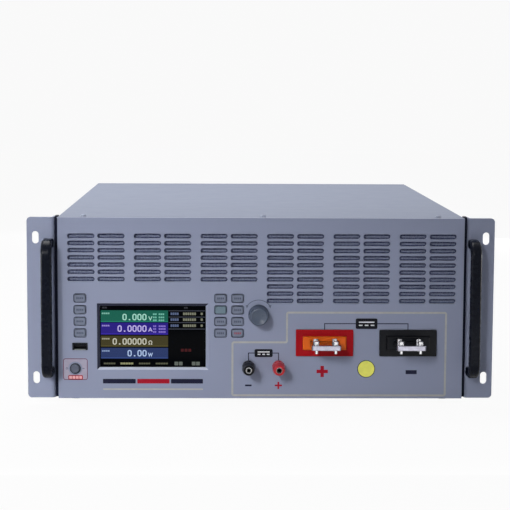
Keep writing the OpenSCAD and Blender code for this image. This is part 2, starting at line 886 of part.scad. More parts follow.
module terminal_plate(s, tint) {
    color(tint) at_input(s) slab(0, plate_t) difference() {
        rounded(plate_w, plate_h, 1);
        square([block_w + 2 * loose, block_h + 2 * loose], center = true);
    }
}

// Outline of a block's front across one side, narrower at its face
module block_profile(side) {
    polygon([[-side / 2, panel_back], [side / 2, panel_back], [side / 2, block_out - block_bevel],
        [side / 2 - block_bevel, block_out], [block_bevel - side / 2, block_out],
        [-side / 2, block_out - block_bevel]]);
}

// Front of a block with its four edges bevelled
module block_front() {
    intersection() {
        translate([0, block_h, 0]) rotate([90, 0, 0]) linear_extrude(2 * block_h) block_profile(block_w);
        translate([-block_w, 0, 0]) rotate([90, 0, 90]) linear_extrude(2 * block_w) block_profile(block_h);
    }
}

module terminal_block(s, tint) {
    color(tint) at_input(s) difference() {
        union() {
            block_front();
            slab(panel_back - block_in, panel_back) square([block_w, block_h], center = true);
            slab(panel_back - terminal_flange_t, panel_back)
                square([block_w + 2 * terminal_flange, block_h + 2 * terminal_flange], center = true);
        }
        slab(panel_back - block_in - 1, block_out + 1)
            square([bar_w + 2 * loose, bar_t + 2 * loose], center = true);
    }
}

// Places of the terminal screws on one busbar, seen from above
module at_bar_screws() {
    for (x = [-1, 1], out = [bar_screw_rear, bar_screw_front])
        translate([x * bar_screw_pitch / 2, bar_t / 2, out]) rotate([-90, 0, 0]) children();
}

module busbar(s) {
    bar_l = bar_out + bar_in;
    color(steel) at_input(s) difference() {
        translate([0, -bar_t / 2, (bar_out - bar_in) / 2]) rotate([-90, 0, 0])
            linear_extrude(bar_t) rounded(bar_w, bar_l, bar_corner_r);
        at_bar_screws() translate([0, 0, -bar_t - 1]) cylinder(r = cap_screw[0] + bolt_gap, h = bar_t + 2);
    }
}

module terminal_screws() {
    color(steel) for (s = [-1, 1]) at_input(s) at_bar_screws() difference() {
        screw(cap_screw, bar_t + screw_tail);
        translate([0, 0, cap_screw[2] - cap_socket_depth]) hexagon(cap_socket_af, cap_socket_depth + 1);
    }
}

// Sense posts

module at_sense(s) {
    on_panel(sense_x + s * sense_pitch / 2, sense_z) children();
}

module sense_collar(s, tint) {
    color(tint) at_sense(s) difference() {
        union() {
            cylinder(d = cap_d - 0.6, h = collar_h);
            translate([0, 0, panel_back - loose]) cylinder(r = post_hole_r, h = panel_t + loose);
        }
        translate([0, 0, panel_back - 1]) cylinder(r = stud_d / 2 + bolt_gap, h = panel_t + collar_h + 2);
    }
}

module sense_studs() {
    color(brass) for (s = [-1, 1]) at_sense(s) difference() {
        union() {
            translate([0, 0, -stud_in]) cylinder(d = stud_d, h = stud_in + post_out - stud_back);
            translate([0, 0, panel_back - loose - sense_nut_h]) hexagon(sense_nut_af, sense_nut_h);
        }
        translate([0, 0, post_out - stud_back - socket_depth]) cylinder(d = socket_d, h = socket_depth + 1);
    }
}

module sense_insert(s) {
    low = collar_h + 2 * post_gap;
    high = post_out - cap_front_wall - bolt_gap;
    color(brass) at_sense(s) difference() {
        translate([0, 0, low]) cylinder(r = insert_r, h = high - low);
        translate([0, 0, low - 1]) cylinder(r = stud_d / 2 + running, h = high - low + 2);
    }
}

module sense_cap(s, tint) {
    low = collar_h + post_gap;
    taper_z = low + cap_taper * (post_out - low);
    edge = 0.6;
    color(tint) at_sense(s) difference() {
        rotate_extrude() polygon([
            [0, low], [cap_d / 2 - edge, low], [cap_d / 2, low + edge], [cap_d / 2, taper_z],
            [cap_front_d / 2, post_out - edge], [cap_front_d / 2 - edge, post_out], [0, post_out]]);
        translate([0, 0, low - 1])
            cylinder(r = insert_r + running, h = post_out - cap_front_wall - low + 1);
        translate([0, 0, low]) cylinder(r = stud_d / 2 + float, h = post_out);
        for (i = [0:flutes - 1]) rotate(i * 360 / flutes)
            translate([cap_d / 2 + flute_r - 0.7, 0, low + 1.5])
                cylinder(r = flute_r, h = taper_z - low - 2);
    }
}

// Inside

module dust_filter() {
    half_l = (vent_l + vent_pitch_x) / 2 + filter_rim;
    left_end = vent_x - vent_half - half_l;
    right_end = vent_x + vent_half + half_l;
    color(foam_grey) on_panel() slab(panel_back - filter_t, panel_back)
        for (field = [[left_end, vent_x + filter_gap, vent_rows_left],
                      [right_board[1][0] + filter_gap, right_end, vent_rows_right]]) {
            low = vent_z(field[2] - 1) - vent_w / 2 - filter_edge;
            high = vent_z(0) + vent_w / 2 + filter_edge;
            translate([field[0], low]) square([field[1] - field[0], high - low]);
        }
}

// Sideways place of each heatsink's middle
sink_xs = [for (s = [-1, 1]) s * (sink_w + sink_gap) / 2 + sink_shift];

module heatsinks() {
    fin_pitch = (sink_w - fin_t) / (sink_fins - 1);
    color(alloy) for (x = sink_xs)
        translate([x - sink_w / 2, sink_y + sink_l, floor_z]) rotate([90, 0, 0])
            linear_extrude(sink_l) union() {
                translate([0, sink_h - sink_base_t]) square([sink_w, sink_base_t]);
                for (i = [0:sink_fins - 1]) translate([i * fin_pitch, 0]) square([fin_t, sink_h]);
            }
}

module power_transistors() {
    pitch = sink_l / transistor_rows;
    color(soft_black) for (x = sink_xs, s = [-1, 1], i = [0:transistor_rows - 1])
        translate([x + s * sink_w / 4 - transistor[0] / 2,
                   sink_y + (i + 0.5) * pitch - transistor[1] / 2, sink_top]) difference() {
            cube(transistor);
            translate([transistor[0] / 2, transistor_hole[1], -1])
                cylinder(r = transistor_hole[0], h = transistor[2] + 2);
        }
}

module control_board() {
    board_over = 60;
    board_short = 30;
    board = [sink_w + sink_gap + board_over, sink_l - 2 * board_short];
    post_r = 3;
    capacitor_r = 6;
    capacitor_h = 14;
    capacitor_pitch = 26;
    capacitor_in = 20;
    board_x = (sink_xs[0] + sink_xs[1]) / 2;
    board_z = sink_top + control_rise;
    color(board_green) {
        translate([board_x - board[0] / 2, sink_y + board_short, board_z])
            cube([board[0], board[1], board_t]);
        for (x = sink_xs, d = [0.2, 0.5, 0.8])
            translate([x, sink_y + d * sink_l, sink_top]) cylinder(r = post_r, h = control_rise);
        for (i = [0:5])
            translate([board_x - board[0] / 2 + capacitor_in + capacitor_pitch * i,
                       sink_y + 2 * board_short, board_z + board_t])
                cylinder(r = capacitor_r, h = capacitor_h);
    }
}

module power_supply() {
    strip = [24, 9, 12];
    supply_x = half_w - sheet_t - supply_gap - supply[0];
    color(alloy) {
        translate([supply_x, supply_y, floor_z]) cube(supply);
        translate([supply_x + (supply[0] - strip[0]) / 2, supply_y - strip[1], floor_z]) cube(strip);
    }
}

// Fans

module fan_holes() {
    for (sx = [-1, 1], sy = [-1, 1])
        translate([sx * fan_hole_pitch / 2, sy * fan_hole_pitch / 2]) children();
}

module fan_frames() {
    color(soft_black) for (s = [-1, 1]) on_rear(s * fan_pitch / 2, fan_z)
        translate([0, 0, -sheet_t - fan_t]) difference() {
            union() {
                linear_extrude(fan_t) difference() {
                    rounded(fan_w, fan_w, 6);
                    circle(fan_bore_r);
                    fan_holes() circle(m4[0] + bolt_gap);
                }
                cylinder(d = fan_hub_d, h = fan_base_t);
                for (a = [0:90:359]) rotate(a + 45)
                    translate([0, -fan_strut / 2, 0]) cube([fan_bore_r + 2, fan_strut, fan_base_t]);
            }
            translate([0, 0, 1]) cylinder(r = axle_r + running, h = fan_base_t);
        }
}

module fan_rotor(s) {
    low = fan_base_t + float;
    high = fan_t - 3;
    sweep = high - low - 6;
    color(soft_black) on_rear(s * fan_pitch / 2, fan_z) translate([0, 0, -sheet_t - fan_t]) {
        difference() {
            translate([0, 0, low]) cylinder(d = fan_hub_d, h = high - low);
            translate([0, 0, high - 1]) cylinder(d = fan_hub_d - 12, h = 2);
        }
        translate([0, 0, 1 + float]) cylinder(r = axle_r, h = low);
        for (i = [0:fan_blades - 1]) rotate(i * 360 / fan_blades) intersection() {
            difference() {
                translate([0, 0, (low + high) / 2 - sweep / 2]) cylinder(r = fan_tip_r, h = sweep);
                cylinder(d = fan_hub_d - 2, h = fan_t);
            }
            translate([0, -blade_curve_r * 0.72, (low + high) / 2 - blade_curve_r * 0.72])
                rotate([0, 90, 0]) difference() {
                    cylinder(r = blade_curve_r, h = fan_tip_r + 1);
                    translate([0, 0, -1]) cylinder(r = blade_curve_r - blade_t, h = fan_tip_r + 3);
                }
            translate([0, -sweep, low]) cube([fan_tip_r + 1, 2 * sweep, high - low]);
        }
    }
}

module fan_guards() {
    wire_r = guard_wire / 2;
    spoke_z = 0.9 * guard_wire;
    ring_z = 2 * spoke_z;
    eyelet_r = 4.6;
    rings = 5;
    ring_pitch = (fan_bore_r - 4) / rings;
    color(guard_chrome) for (s = [-1, 1]) on_rear(s * fan_pitch / 2, fan_z) {
        for (i = [1:rings]) translate([0, 0, ring_z]) rotate_extrude()
            translate([i * ring_pitch, 0]) circle(wire_r);
        difference() {
            union() {
                for (a = [45:90:359]) rotate(a) translate([ring_pitch - 2, 0, spoke_z]) rotate([0, 90, 0])
                    cylinder(r = wire_r, h = fan_hole_pitch / sqrt(2) - ring_pitch + 2);
                fan_holes() cylinder(r = eyelet_r, h = guard_wire);
            }
            fan_holes() translate([0, 0, -1]) cylinder(r = m4[0] + bolt_gap, h = 5 * guard_wire);
            fan_holes() translate([0, 0, guard_wire]) cylinder(r = m4[1] + loose, h = 5 * guard_wire);
        }
    }
}

// Rear connectors

module mains_inlet() {
    pin = [2, 4];
    pin_l = inlet_recess_l - 3;
    pins = [[-7, -2], [7, -2], [0, 3.4]];
    color(soft_black) on_rear(inlet_x, inlet_z) {
        difference() {
            union() {
                slab(0, inlet_flange_t) difference() {
                    rounded(inlet_flange[0], inlet_flange[1], 3);
                    for (s = [-1, 1]) translate([s * inlet_hole_pitch / 2, 0]) circle(m3[0] + bolt_gap);
                }
                slab(-inlet_body_l, 0) square(inlet_body, center = true);
            }
            slab(inlet_flange_t - inlet_recess_l, inlet_flange_t + 1)
                rounded(inlet_recess[0], inlet_recess[1], 2);
        }
        for (p = pins) translate(p)
            slab(inlet_flange_t - inlet_recess_l, inlet_flange_t - inlet_recess_l + pin_l)
                square(pin, center = true);
    }
}

module comm_port() {
    latch = [6, 2.4];
    color(steel) on_rear(comm_x, comm_z) difference() {
        slab(comm_out - comm_body_l, comm_out) square(comm_body, center = true);
        slab(comm_out - comm_depth, comm_out + 1) square(comm_mouth, center = true);
        slab(comm_out - comm_depth, comm_out + 1)
            translate([0, -comm_mouth[1] / 2 - latch[1] / 2 + 0.1]) square(latch, center = true);
    }
}

base_tray();
top_cover();
front_panel();
rear_panel();
side_rail(-1);  // side_rail_left
side_rail(1);  // side_rail_right
rack_ear(-1);  // rack_ear_left
rack_ear(1);  // rack_ear_right
handle(-1);  // handle_left
handle(1);  // handle_right
feet();
cover_screws();
case_screws();
display_lens();
display_module();
key_board();
key_switches();
key(key_left_x, 1);  // key_left_1
key(key_left_x, 2);  // key_left_2
key(key_left_x, 3);  // key_left_3
key(key_left_x, 4);  // key_left_4
key(key_mid_x, 1);  // key_mid_1
key(key_mid_x, 2);  // key_mid_2
key(key_mid_x, 3);  // key_mid_3
key(key_mid_x, 4);  // key_mid_4
key(key_right_x, 1);  // key_right_1
key(key_right_x, 2);  // key_right_2
key(key_right_x, 3);  // key_right_3
key(key_right_x, 4);  // key_right_4
usb_port();
power_switch();
power_button();
encoder();
encoder_shaft();
knob();
terminal_plate(-1, sign_red);  // terminal_plate_positive
terminal_plate(1, soft_black);  // terminal_plate_negative
terminal_block(-1, block_orange);  // terminal_block_positive
terminal_block(1, soft_black);  // terminal_block_negative
busbar(-1);  // busbar_positive
busbar(1);  // busbar_negative
terminal_screws();
sense_collar(-1, soft_black);  // sense_collar_negative
sense_collar(1, sign_red);  // sense_collar_positive
sense_studs();
sense_insert(-1);  // sense_insert_negative
sense_insert(1);  // sense_insert_positive
sense_cap(-1, soft_black);  // sense_cap_negative
sense_cap(1, sign_red);  // sense_cap_positive
dust_filter();
heatsinks();
power_transistors();
control_board();
power_supply();
fan_frames();
fan_rotor(-1);  // fan_rotor_left
fan_rotor(1);  // fan_rotor_right
fan_guards();
mains_inlet();
comm_port();
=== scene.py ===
"""Looks of a rack-mount DC electronic load: finishes, prints, display picture and small fittings."""
import math
from collections import namedtuple

import bmesh
import bpy
from mathutils import Matrix, Vector


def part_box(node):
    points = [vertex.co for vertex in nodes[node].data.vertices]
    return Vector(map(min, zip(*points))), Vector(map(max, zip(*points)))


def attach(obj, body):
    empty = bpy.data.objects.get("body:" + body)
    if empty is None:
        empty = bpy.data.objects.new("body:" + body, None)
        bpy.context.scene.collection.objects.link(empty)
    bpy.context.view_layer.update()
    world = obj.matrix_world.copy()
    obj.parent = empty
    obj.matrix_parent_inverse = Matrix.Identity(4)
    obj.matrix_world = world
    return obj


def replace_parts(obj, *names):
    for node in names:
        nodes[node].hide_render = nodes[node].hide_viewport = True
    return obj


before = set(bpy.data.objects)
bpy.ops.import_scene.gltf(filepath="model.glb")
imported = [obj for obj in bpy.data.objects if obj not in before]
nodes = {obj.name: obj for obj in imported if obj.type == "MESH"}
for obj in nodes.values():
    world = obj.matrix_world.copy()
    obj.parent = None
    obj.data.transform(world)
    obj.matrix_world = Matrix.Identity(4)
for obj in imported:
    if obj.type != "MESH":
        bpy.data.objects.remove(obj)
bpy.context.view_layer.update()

MM = 0.001
PANEL_LOW, PANEL_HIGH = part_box("front_panel")
PANEL_H = (PANEL_HIGH.z - PANEL_LOW.z) / MM
REAR_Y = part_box("rear_panel")[1].y


def at(x, z, out=0.0):
    """Place on the front panel in mm: right of the middle, above its bottom edge, out of its face."""
    return Vector((x * MM, PANEL_LOW.y - out * MM, PANEL_LOW.z + z * MM))


def at_rear(x, z, out=0.0):
    """Place on the rear face in mm: x of the part, above the panel's bottom edge, out of the face."""
    return Vector((x * MM, REAR_Y + out * MM, PANEL_LOW.z + z * MM))


def panel_box(node):
    """A node's box seen from the front in mm: x0, x1, z0, z1, lowest and highest out of the face."""
    low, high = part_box(node)
    return (low.x / MM, high.x / MM, (low.z - PANEL_LOW.z) / MM, (high.z - PANEL_LOW.z) / MM,
            (PANEL_LOW.y - high.y) / MM, (PANEL_LOW.y - low.y) / MM)


def middle(node):
    """Panel x and z of a node's middle, in mm."""
    x0, x1, z0, z1, _, _ = panel_box(node)
    return (x0 + x1) / 2, (z0 + z1) / 2


# Materials

# Range that most of a noise texture's values lie in
NOISE_LOW, NOISE_HIGH = 0.3, 0.7
# Sockets of a Mix node that mixes colours
MIX_FACTOR, MIX_FIRST, MIX_SECOND, MIX_RESULT = 0, 6, 7, 2
# How far a face turns, from side-on, before it counts as facing that way
FACING_START, FACING_END = 0.2, 0.4
FOAM_CELL = 1.3
PIXEL, PIXEL_GAP = 0.23, 0.03


def srgb(red, green, blue):
    """Linear colour of an 8-bit screen colour."""
    def linear(value):
        value /= 255
        return value / 12.92 if value <= 0.04045 else ((value + 0.055) / 1.055) ** 2.4
    return (linear(red), linear(green), linear(blue), 1.0)


def scaled(colour, factor):
    return tuple(min(1.0, c * factor) for c in colour[:3]) + (1.0,)


class Finish:
    """A Principled material with helpers for what varies over its surface."""

    def __init__(self, name, **sockets):
        self.material = bpy.data.materials.new(name)
        self.material.use_nodes = True
        self.tree = self.material.node_tree
        self.shader = self.tree.nodes["Principled BSDF"]
        self.normal = None
        for socket, value in sockets.items():
            self.shader.inputs[socket.replace("_", " ")].default_value = value

    def feed(self, socket, value):
        """Links another node's output to a socket, or sets a plain value."""
        if isinstance(value, bpy.types.NodeSocket):
            self.tree.links.new(value, socket)
        else:
            socket.default_value = value

    def node(self, kind, settings=None, **inputs):
        made = self.tree.nodes.new(kind)
        for key, value in (settings or {}).items():
            setattr(made, key, value)
        for key, value in inputs.items():
            self.feed(made.inputs[key.replace("_", " ")], value)
        return made

    def link(self, output, socket):
        self.tree.links.new(output, self.shader.inputs[socket])

    def coordinates(self, stretch=(1, 1, 1)):
        places = self.node("ShaderNodeTexCoord").outputs["Object"]
        if stretch == (1, 1, 1):
            return places
        return self.node("ShaderNodeMapping", Vector=places, Scale=stretch).outputs["Vector"]

    def noise(self, size, detail=3.0, stretch=(1, 1, 1)):
        """Noise with features of about that size in mm."""
        return self.node("ShaderNodeTexNoise", Vector=self.coordinates(stretch),
                         Scale=1 / (size * MM), Detail=detail).outputs["Fac"]

    def ramp(self, value, start, end, low=0.0, high=1.0):
        """A value's range from start to end stretched between low and high."""
        return self.node("ShaderNodeMapRange", Value=value, From_Min=start, From_Max=end,
                         To_Min=low, To_Max=high).outputs["Result"]

    def calculate(self, operation, first, second):
        made = self.node("ShaderNodeMath", {"operation": operation})
        self.feed(made.inputs[0], first)
        self.feed(made.inputs[1], second)
        return made.outputs["Value"]

    def blend(self, factor, first, second):
        """Colours mixed by a factor."""
        mix = self.node("ShaderNodeMix", {"data_type": "RGBA"})
        for place, value in ((MIX_FACTOR, factor), (MIX_FIRST, first), (MIX_SECOND, second)):
            self.feed(mix.inputs[place], value)
        return mix.outputs[MIX_RESULT]

    def tone(self, colour, share, size):
        """Base colour that wanders lighter and darker by a share."""
        factor = self.ramp(self.noise(size), NOISE_LOW, NOISE_HIGH)
        mixed = self.blend(factor, scaled(colour, 1 - share), scaled(colour, 1 + share))
        self.link(mixed, "Base Color")
        return self

    def rough(self, low, high, size):
        self.link(self.ramp(self.noise(size), NOISE_LOW, NOISE_HIGH, low, high), "Roughness")
        return self

    def grain(self, size, depth, strength=0.5, stretch=(1, 1, 1)):
        """Fine bumps of that size and depth in mm."""
        bump = self.node("ShaderNodeBump", Strength=strength, Distance=depth * MM,
                         Height=self.noise(size, 2.0, stretch))
        if self.normal is not None:
            self.tree.links.new(self.normal, bump.inputs["Normal"])
        self.normal = bump.outputs["Normal"]
        self.link(self.normal, "Normal")
        return self

    def soft_edges(self, radius):
        """Edges that catch the light as if broken by a radius in mm."""
        bevel = self.node("ShaderNodeBevel", {"samples": 6}, Radius=radius * MM)
        self.normal = bevel.outputs["Normal"]
        self.link(self.normal, "Normal")
        return self


def coat(name, colour, gloss=0.3):
    """Powder coat: satin, with a fine orange peel."""
    made = Finish(name, Specular_IOR_Level=gloss)
    made.soft_edges(radius=0.35).tone(colour, share=0.006, size=60)
    return made.rough(0.5, 0.54, size=20).grain(size=0.55, depth=0.02, strength=0.2)


def coat_with_painted_shade(name, colour, walls, sills):
    """Powder coat with painted shade on walls of cut-outs that face right or down and a painted highlight on
    those that face up.
    """
    made = coat(name, colour)
    painted = made.shader.inputs["Base Color"].links[0].from_socket
    facing = made.node("ShaderNodeSeparateXYZ", Vector=made.node("ShaderNodeTexCoord").outputs["Normal"])
    right, up = facing.outputs["X"], facing.outputs["Z"]
    down = made.calculate("MULTIPLY", up, -1.0)
    painted_shade_mask = made.ramp(made.calculate("MAXIMUM", right, down), FACING_START, FACING_END)
    painted_light_mask = made.ramp(up, FACING_START, FACING_END)
    # Painted shade on walls that turn right or down, painted highlight on sills that turn up
    made.link(made.blend(painted_shade_mask, made.blend(painted_light_mask, painted, sills), walls), "Base Color")
    return made


def plastic(name, colour, low, high, specular=0.4, grain=0.5, edge=0.3):
    """Moulded plastic or rubber with a fine texture; low and high are its roughness."""
    made = Finish(name, Specular_IOR_Level=specular)
    made.soft_edges(edge).tone(colour, share=0.06, size=12)
    return made.rough(low, high, size=6).grain(grain, depth=0.02, strength=0.4).material


def metal(name, colour, low, high, stretch=(1, 1, 1), edge=0.25):
    """Plated or turned metal with fine tool marks along one way; low and high are its roughness."""
    made = Finish(name, Metallic=1.0)
    made.soft_edges(edge).tone(colour, share=0.05, size=9)
    return made.rough(low, high, size=3).grain(0.3, depth=0.004, strength=0.35, stretch=stretch).material


def foam(name, dark, light):
    """Open-cell filter foam."""
    made = Finish(name, Roughness=0.95, Specular_IOR_Level=0.1)
    cells = made.node("ShaderNodeTexVoronoi", {"feature": "F1"}, Vector=made.coordinates(),
                      Scale=1 / (FOAM_CELL * MM)).outputs["Distance"]
    made.link(made.blend(made.ramp(cells, NOISE_LOW, NOISE_HIGH), dark, light), "Base Color")
    bump = made.node("ShaderNodeBump", Strength=0.8, Distance=0.4 * MM, Height=cells)
    made.link(bump.outputs["Normal"], "Normal")
    return made.material


def board(name):
    """Circuit board: green lacquer over a web of copper tracks."""
    made = Finish(name, Roughness=0.35)
    tracks = made.node("ShaderNodeTexBrick", {"offset": 0.3}, Vector=made.coordinates(), Scale=60.0,
                       Mortar_Size=0.06, Color1=srgb(20, 70, 45), Color2=srgb(24, 80, 50),
                       Mortar=srgb(60, 110, 70))
    made.link(tracks.outputs["Color"], "Base Color")
    return made.grain(size=0.8, depth=0.02).material


def ink(name, colour):
    """Screen-printed ink, a little uneven; the same finish also carries the painted shade round the keys."""
    made = Finish(name, Specular_IOR_Level=0.12)
    return made.tone(colour, share=0.06, size=5).rough(0.44, 0.56, size=3).material


def glow(name, colour):
    """Lit part of the display, with the dark lines between its pixels."""
    made = Finish(name, Base_Color=(0.004, 0.004, 0.005, 1), Roughness=0.12, Specular_IOR_Level=0.04,
                  Emission_Strength=1.0)
    upright = made.node("ShaderNodeMapping", Vector=made.coordinates(), Rotation=(math.pi / 2, 0, 0))
    grid = made.node("ShaderNodeTexBrick", {"offset": 0.0}, Vector=upright.outputs["Vector"], Scale=1.0,
                     Mortar_Size=PIXEL_GAP * MM, Brick_Width=PIXEL * MM, Row_Height=PIXEL * MM,
                     Color1=scaled(colour, 0.97), Color2=scaled(colour, 1.03), Mortar=scaled(colour, 0.6))
    made.link(grid.outputs["Color"], "Emission Color")
    return made.material


PANEL_GREY = srgb(138, 145, 169)
# The wall colour is painted shade and the sill colour is painted light, on faces of the front panel that
# turn right, down or up
panel_paint = coat_with_painted_shade("panel_paint", PANEL_GREY, srgb(26, 30, 50), srgb(182, 188, 208)).material
ear_paint = coat("ear_paint", PANEL_GREY).material
cover_paint = coat("cover_paint", srgb(140, 147, 166), 0.08).material

# Plastics: colour, lowest and highest roughness, specular level
rail_black = plastic("rail_black", srgb(8, 12, 32), 0.4, 0.55, 0.08)
handle_black = plastic("handle_black", srgb(2, 6, 20), 0.24, 0.3, 0.1, grain=6.0)
foot_rubber = plastic("foot_rubber", srgb(26, 26, 28), 0.75, 0.9, 0.2, grain=0.9)
screw_grey = plastic("screw_grey", srgb(166, 172, 190), 0.5, 0.6, 0.2)
window_glass = plastic("window_glass", srgb(2, 3, 6), 0.06, 0.12, 0.015, grain=3.0, edge=0.1)
key_plastic = plastic("key_plastic", srgb(110, 118, 137), 0.42, 0.55, 0.3)
key_pale = plastic("key_pale", srgb(99, 118, 130), 0.42, 0.55, 0.3)
button_grey = plastic("button_grey", srgb(84, 90, 106), 0.4, 0.5, 0.3)
# The collar's own grey, darkened as painted shade of the gap round the power button
collar_and_gap_shade = plastic("collar_and_gap_shade", srgb(48, 53, 66), 0.4, 0.5, 0.3)
knob_plastic = plastic("knob_plastic", srgb(58, 70, 90), 0.26, 0.34, 0.5)
black_plastic = plastic("black_plastic", srgb(8, 10, 16), 0.3, 0.42, 0.12)
red_plastic = plastic("red_plastic", srgb(182, 24, 36), 0.26, 0.4, 0.3)
plate_red = plastic("plate_red", srgb(160, 10, 22), 0.4, 0.55, 0.1)
orange_plastic = plastic("orange_plastic", srgb(222, 98, 16), 0.35, 0.5, 0.2)
fan_plastic = plastic("fan_plastic", srgb(22, 23, 25), 0.4, 0.55, 0.3)
label_film = plastic("label_film", srgb(7, 8, 20), 0.3, 0.4, 0.12)

# Metals: colour, lowest and highest roughness
screw_steel = metal("screw_steel", srgb(176, 178, 184), 0.25, 0.4)
plated_bar = metal("plated_bar", srgb(132, 131, 142), 0.08, 0.2, stretch=(1, 0.15, 1), edge=0.9)
brass = metal("brass", srgb(196, 164, 96), 0.22, 0.34)
nickel = metal("nickel", srgb(190, 190, 192), 0.18, 0.3)
alloy = metal("alloy", srgb(178, 180, 184), 0.35, 0.5, stretch=(1, 0.05, 1))
guard_chrome = metal("guard_chrome", srgb(200, 201, 205), 0.12, 0.22)
dull_steel = metal("dull_steel", srgb(112, 116, 116), 0.3, 0.45)
dark_steel = metal("dark_steel", srgb(62, 66, 74), 0.35, 0.5)

filter_foam = foam("filter_foam", srgb(70, 75, 100), srgb(96, 102, 130))
pad_foam = foam("pad_foam", srgb(110, 117, 142), srgb(130, 137, 162))
board_green = board("board_green")

gold_ink = ink("gold_ink", srgb(172, 171, 167))
dark_ink = ink("dark_ink", srgb(18, 20, 44))
red_ink = ink("red_ink", srgb(158, 14, 36))
maroon_ink = ink("maroon_ink", srgb(112, 62, 82))
pink_ink = ink("pink_ink", srgb(226, 170, 174))
white_ink = ink("white_ink", srgb(222, 224, 228))
grey_ink = ink("grey_ink", srgb(96, 103, 120))
legend_ink = ink("legend_ink", srgb(78, 84, 104))
rose_ink = ink("rose_ink", srgb(152, 74, 90))
# Painted shade of the gaps round the keys, made with the print finish
surround_ink = ink("surround_ink", srgb(72, 78, 100))
mauve_ink = ink("mauve_ink", srgb(164, 158, 176))
yellow_ink = ink("yellow_ink", srgb(238, 236, 112))

KEYS = [node for node in sorted(nodes) if node.startswith("key_") and node[-1].isdigit()]
PALE_KEY = "key_mid_2"
RED_LEGEND_KEY = "key_right_4"
FINISHES = [
    (panel_paint, ["front_panel"]),
    (ear_paint, ["rack_ear_left", "rack_ear_right"]),
    (cover_paint, ["base_tray", "top_cover", "rear_panel"]),
    (rail_black, ["side_rail_left", "side_rail_right"]),
    (handle_black, ["handle_left", "handle_right"]),
    (foot_rubber, ["feet"]),
    (screw_steel, ["cover_screws", "case_screws", "encoder", "encoder_shaft"]),
    (window_glass, ["display_lens"]),
    (key_plastic, [node for node in KEYS if node != PALE_KEY]),
    (key_pale, [PALE_KEY]),
    (black_plastic, ["key_switches", "terminal_plate_negative", "terminal_block_negative",
                     "sense_collar_negative", "sense_cap_negative", "power_transistors", "mains_inlet",
                     "usb_port"]),
    (red_plastic, ["sense_collar_positive", "sense_cap_positive"]),
    (plate_red, ["terminal_plate_positive"]),
    (orange_plastic, ["terminal_block_positive"]),
    (plated_bar, ["busbar_positive", "busbar_negative"]),
    (brass, ["sense_insert_negative", "sense_insert_positive"]),
    (nickel, ["sense_studs", "terminal_screws", "comm_port"]),
    (filter_foam, ["dust_filter"]),
    (alloy, ["display_module", "heatsinks", "power_supply"]),
    (board_green, ["key_board", "control_board"]),
    (fan_plastic, ["fan_frames", "fan_rotor_left", "fan_rotor_right"]),
    (guard_chrome, ["fan_guards"]),
    (knob_plastic, ["knob"]),
    (button_grey, ["power_button"]),
    (collar_and_gap_shade, ["power_switch"]),
]


def dress(node, material):
    """Puts a finish on a CAD node."""
    mesh = nodes[node].data
    mesh.materials.clear()
    mesh.materials.append(material)


for finish, dressed_nodes in FINISHES:
    for dressed_node in dressed_nodes:
        dress(dressed_node, finish)


# Mesh tools

SMOOTH_ANGLE = math.radians(32)
CORNERS = ((1, 1), (-1, 1), (-1, -1), (1, -1))
MITRE_LEAST = 0.3
# Lowest and highest out of the panel's face, in mm: ink, a thinner field of it, and print over ink
INK = (-0.02, 0.06)
FIELD = (-0.02, 0.03)
OVERPRINT = (0.03, 0.1)


def piece(name, points, faces, material, body="root"):
    """A closed mesh that rides on a body."""
    mesh = bpy.data.meshes.new(name)
    mesh.from_pydata([tuple(p) for p in points], [], faces)
    sheet = bmesh.new()
    sheet.from_mesh(mesh)
    bmesh.ops.recalc_face_normals(sheet, faces=sheet.faces)
    sheet.to_mesh(mesh)
    sheet.free()
    mesh.materials.append(material)
    mesh.shade_smooth()
    mesh.set_sharp_from_angle(angle=SMOOTH_ANGLE)
    made = bpy.data.objects.new(name, mesh)
    bpy.context.scene.collection.objects.link(made)
    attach(made, body)
    return made


def rounded(x, z, width, height, radius, steps=5):
    """Outline of a rectangle with round corners about a middle."""
    points = []
    for corner, (side, rise) in enumerate(CORNERS):
        corner_x = x + side * (width / 2 - radius)
        corner_z = z + rise * (height / 2 - radius)
        for step in range(steps + 1):
            angle = math.pi / 2 * (corner + step / steps)
            points.append((corner_x + radius * math.cos(angle), corner_z + radius * math.sin(angle)))
    return points


def arc(x, z, radius, start, end, steps=24):
    """Points along an arc, angles in degrees from the right, turning left."""
    angles = [math.radians(start + (end - start) * i / steps) for i in range(steps + 1)]
    return [(x + radius * math.cos(a), z + radius * math.sin(a)) for a in angles]


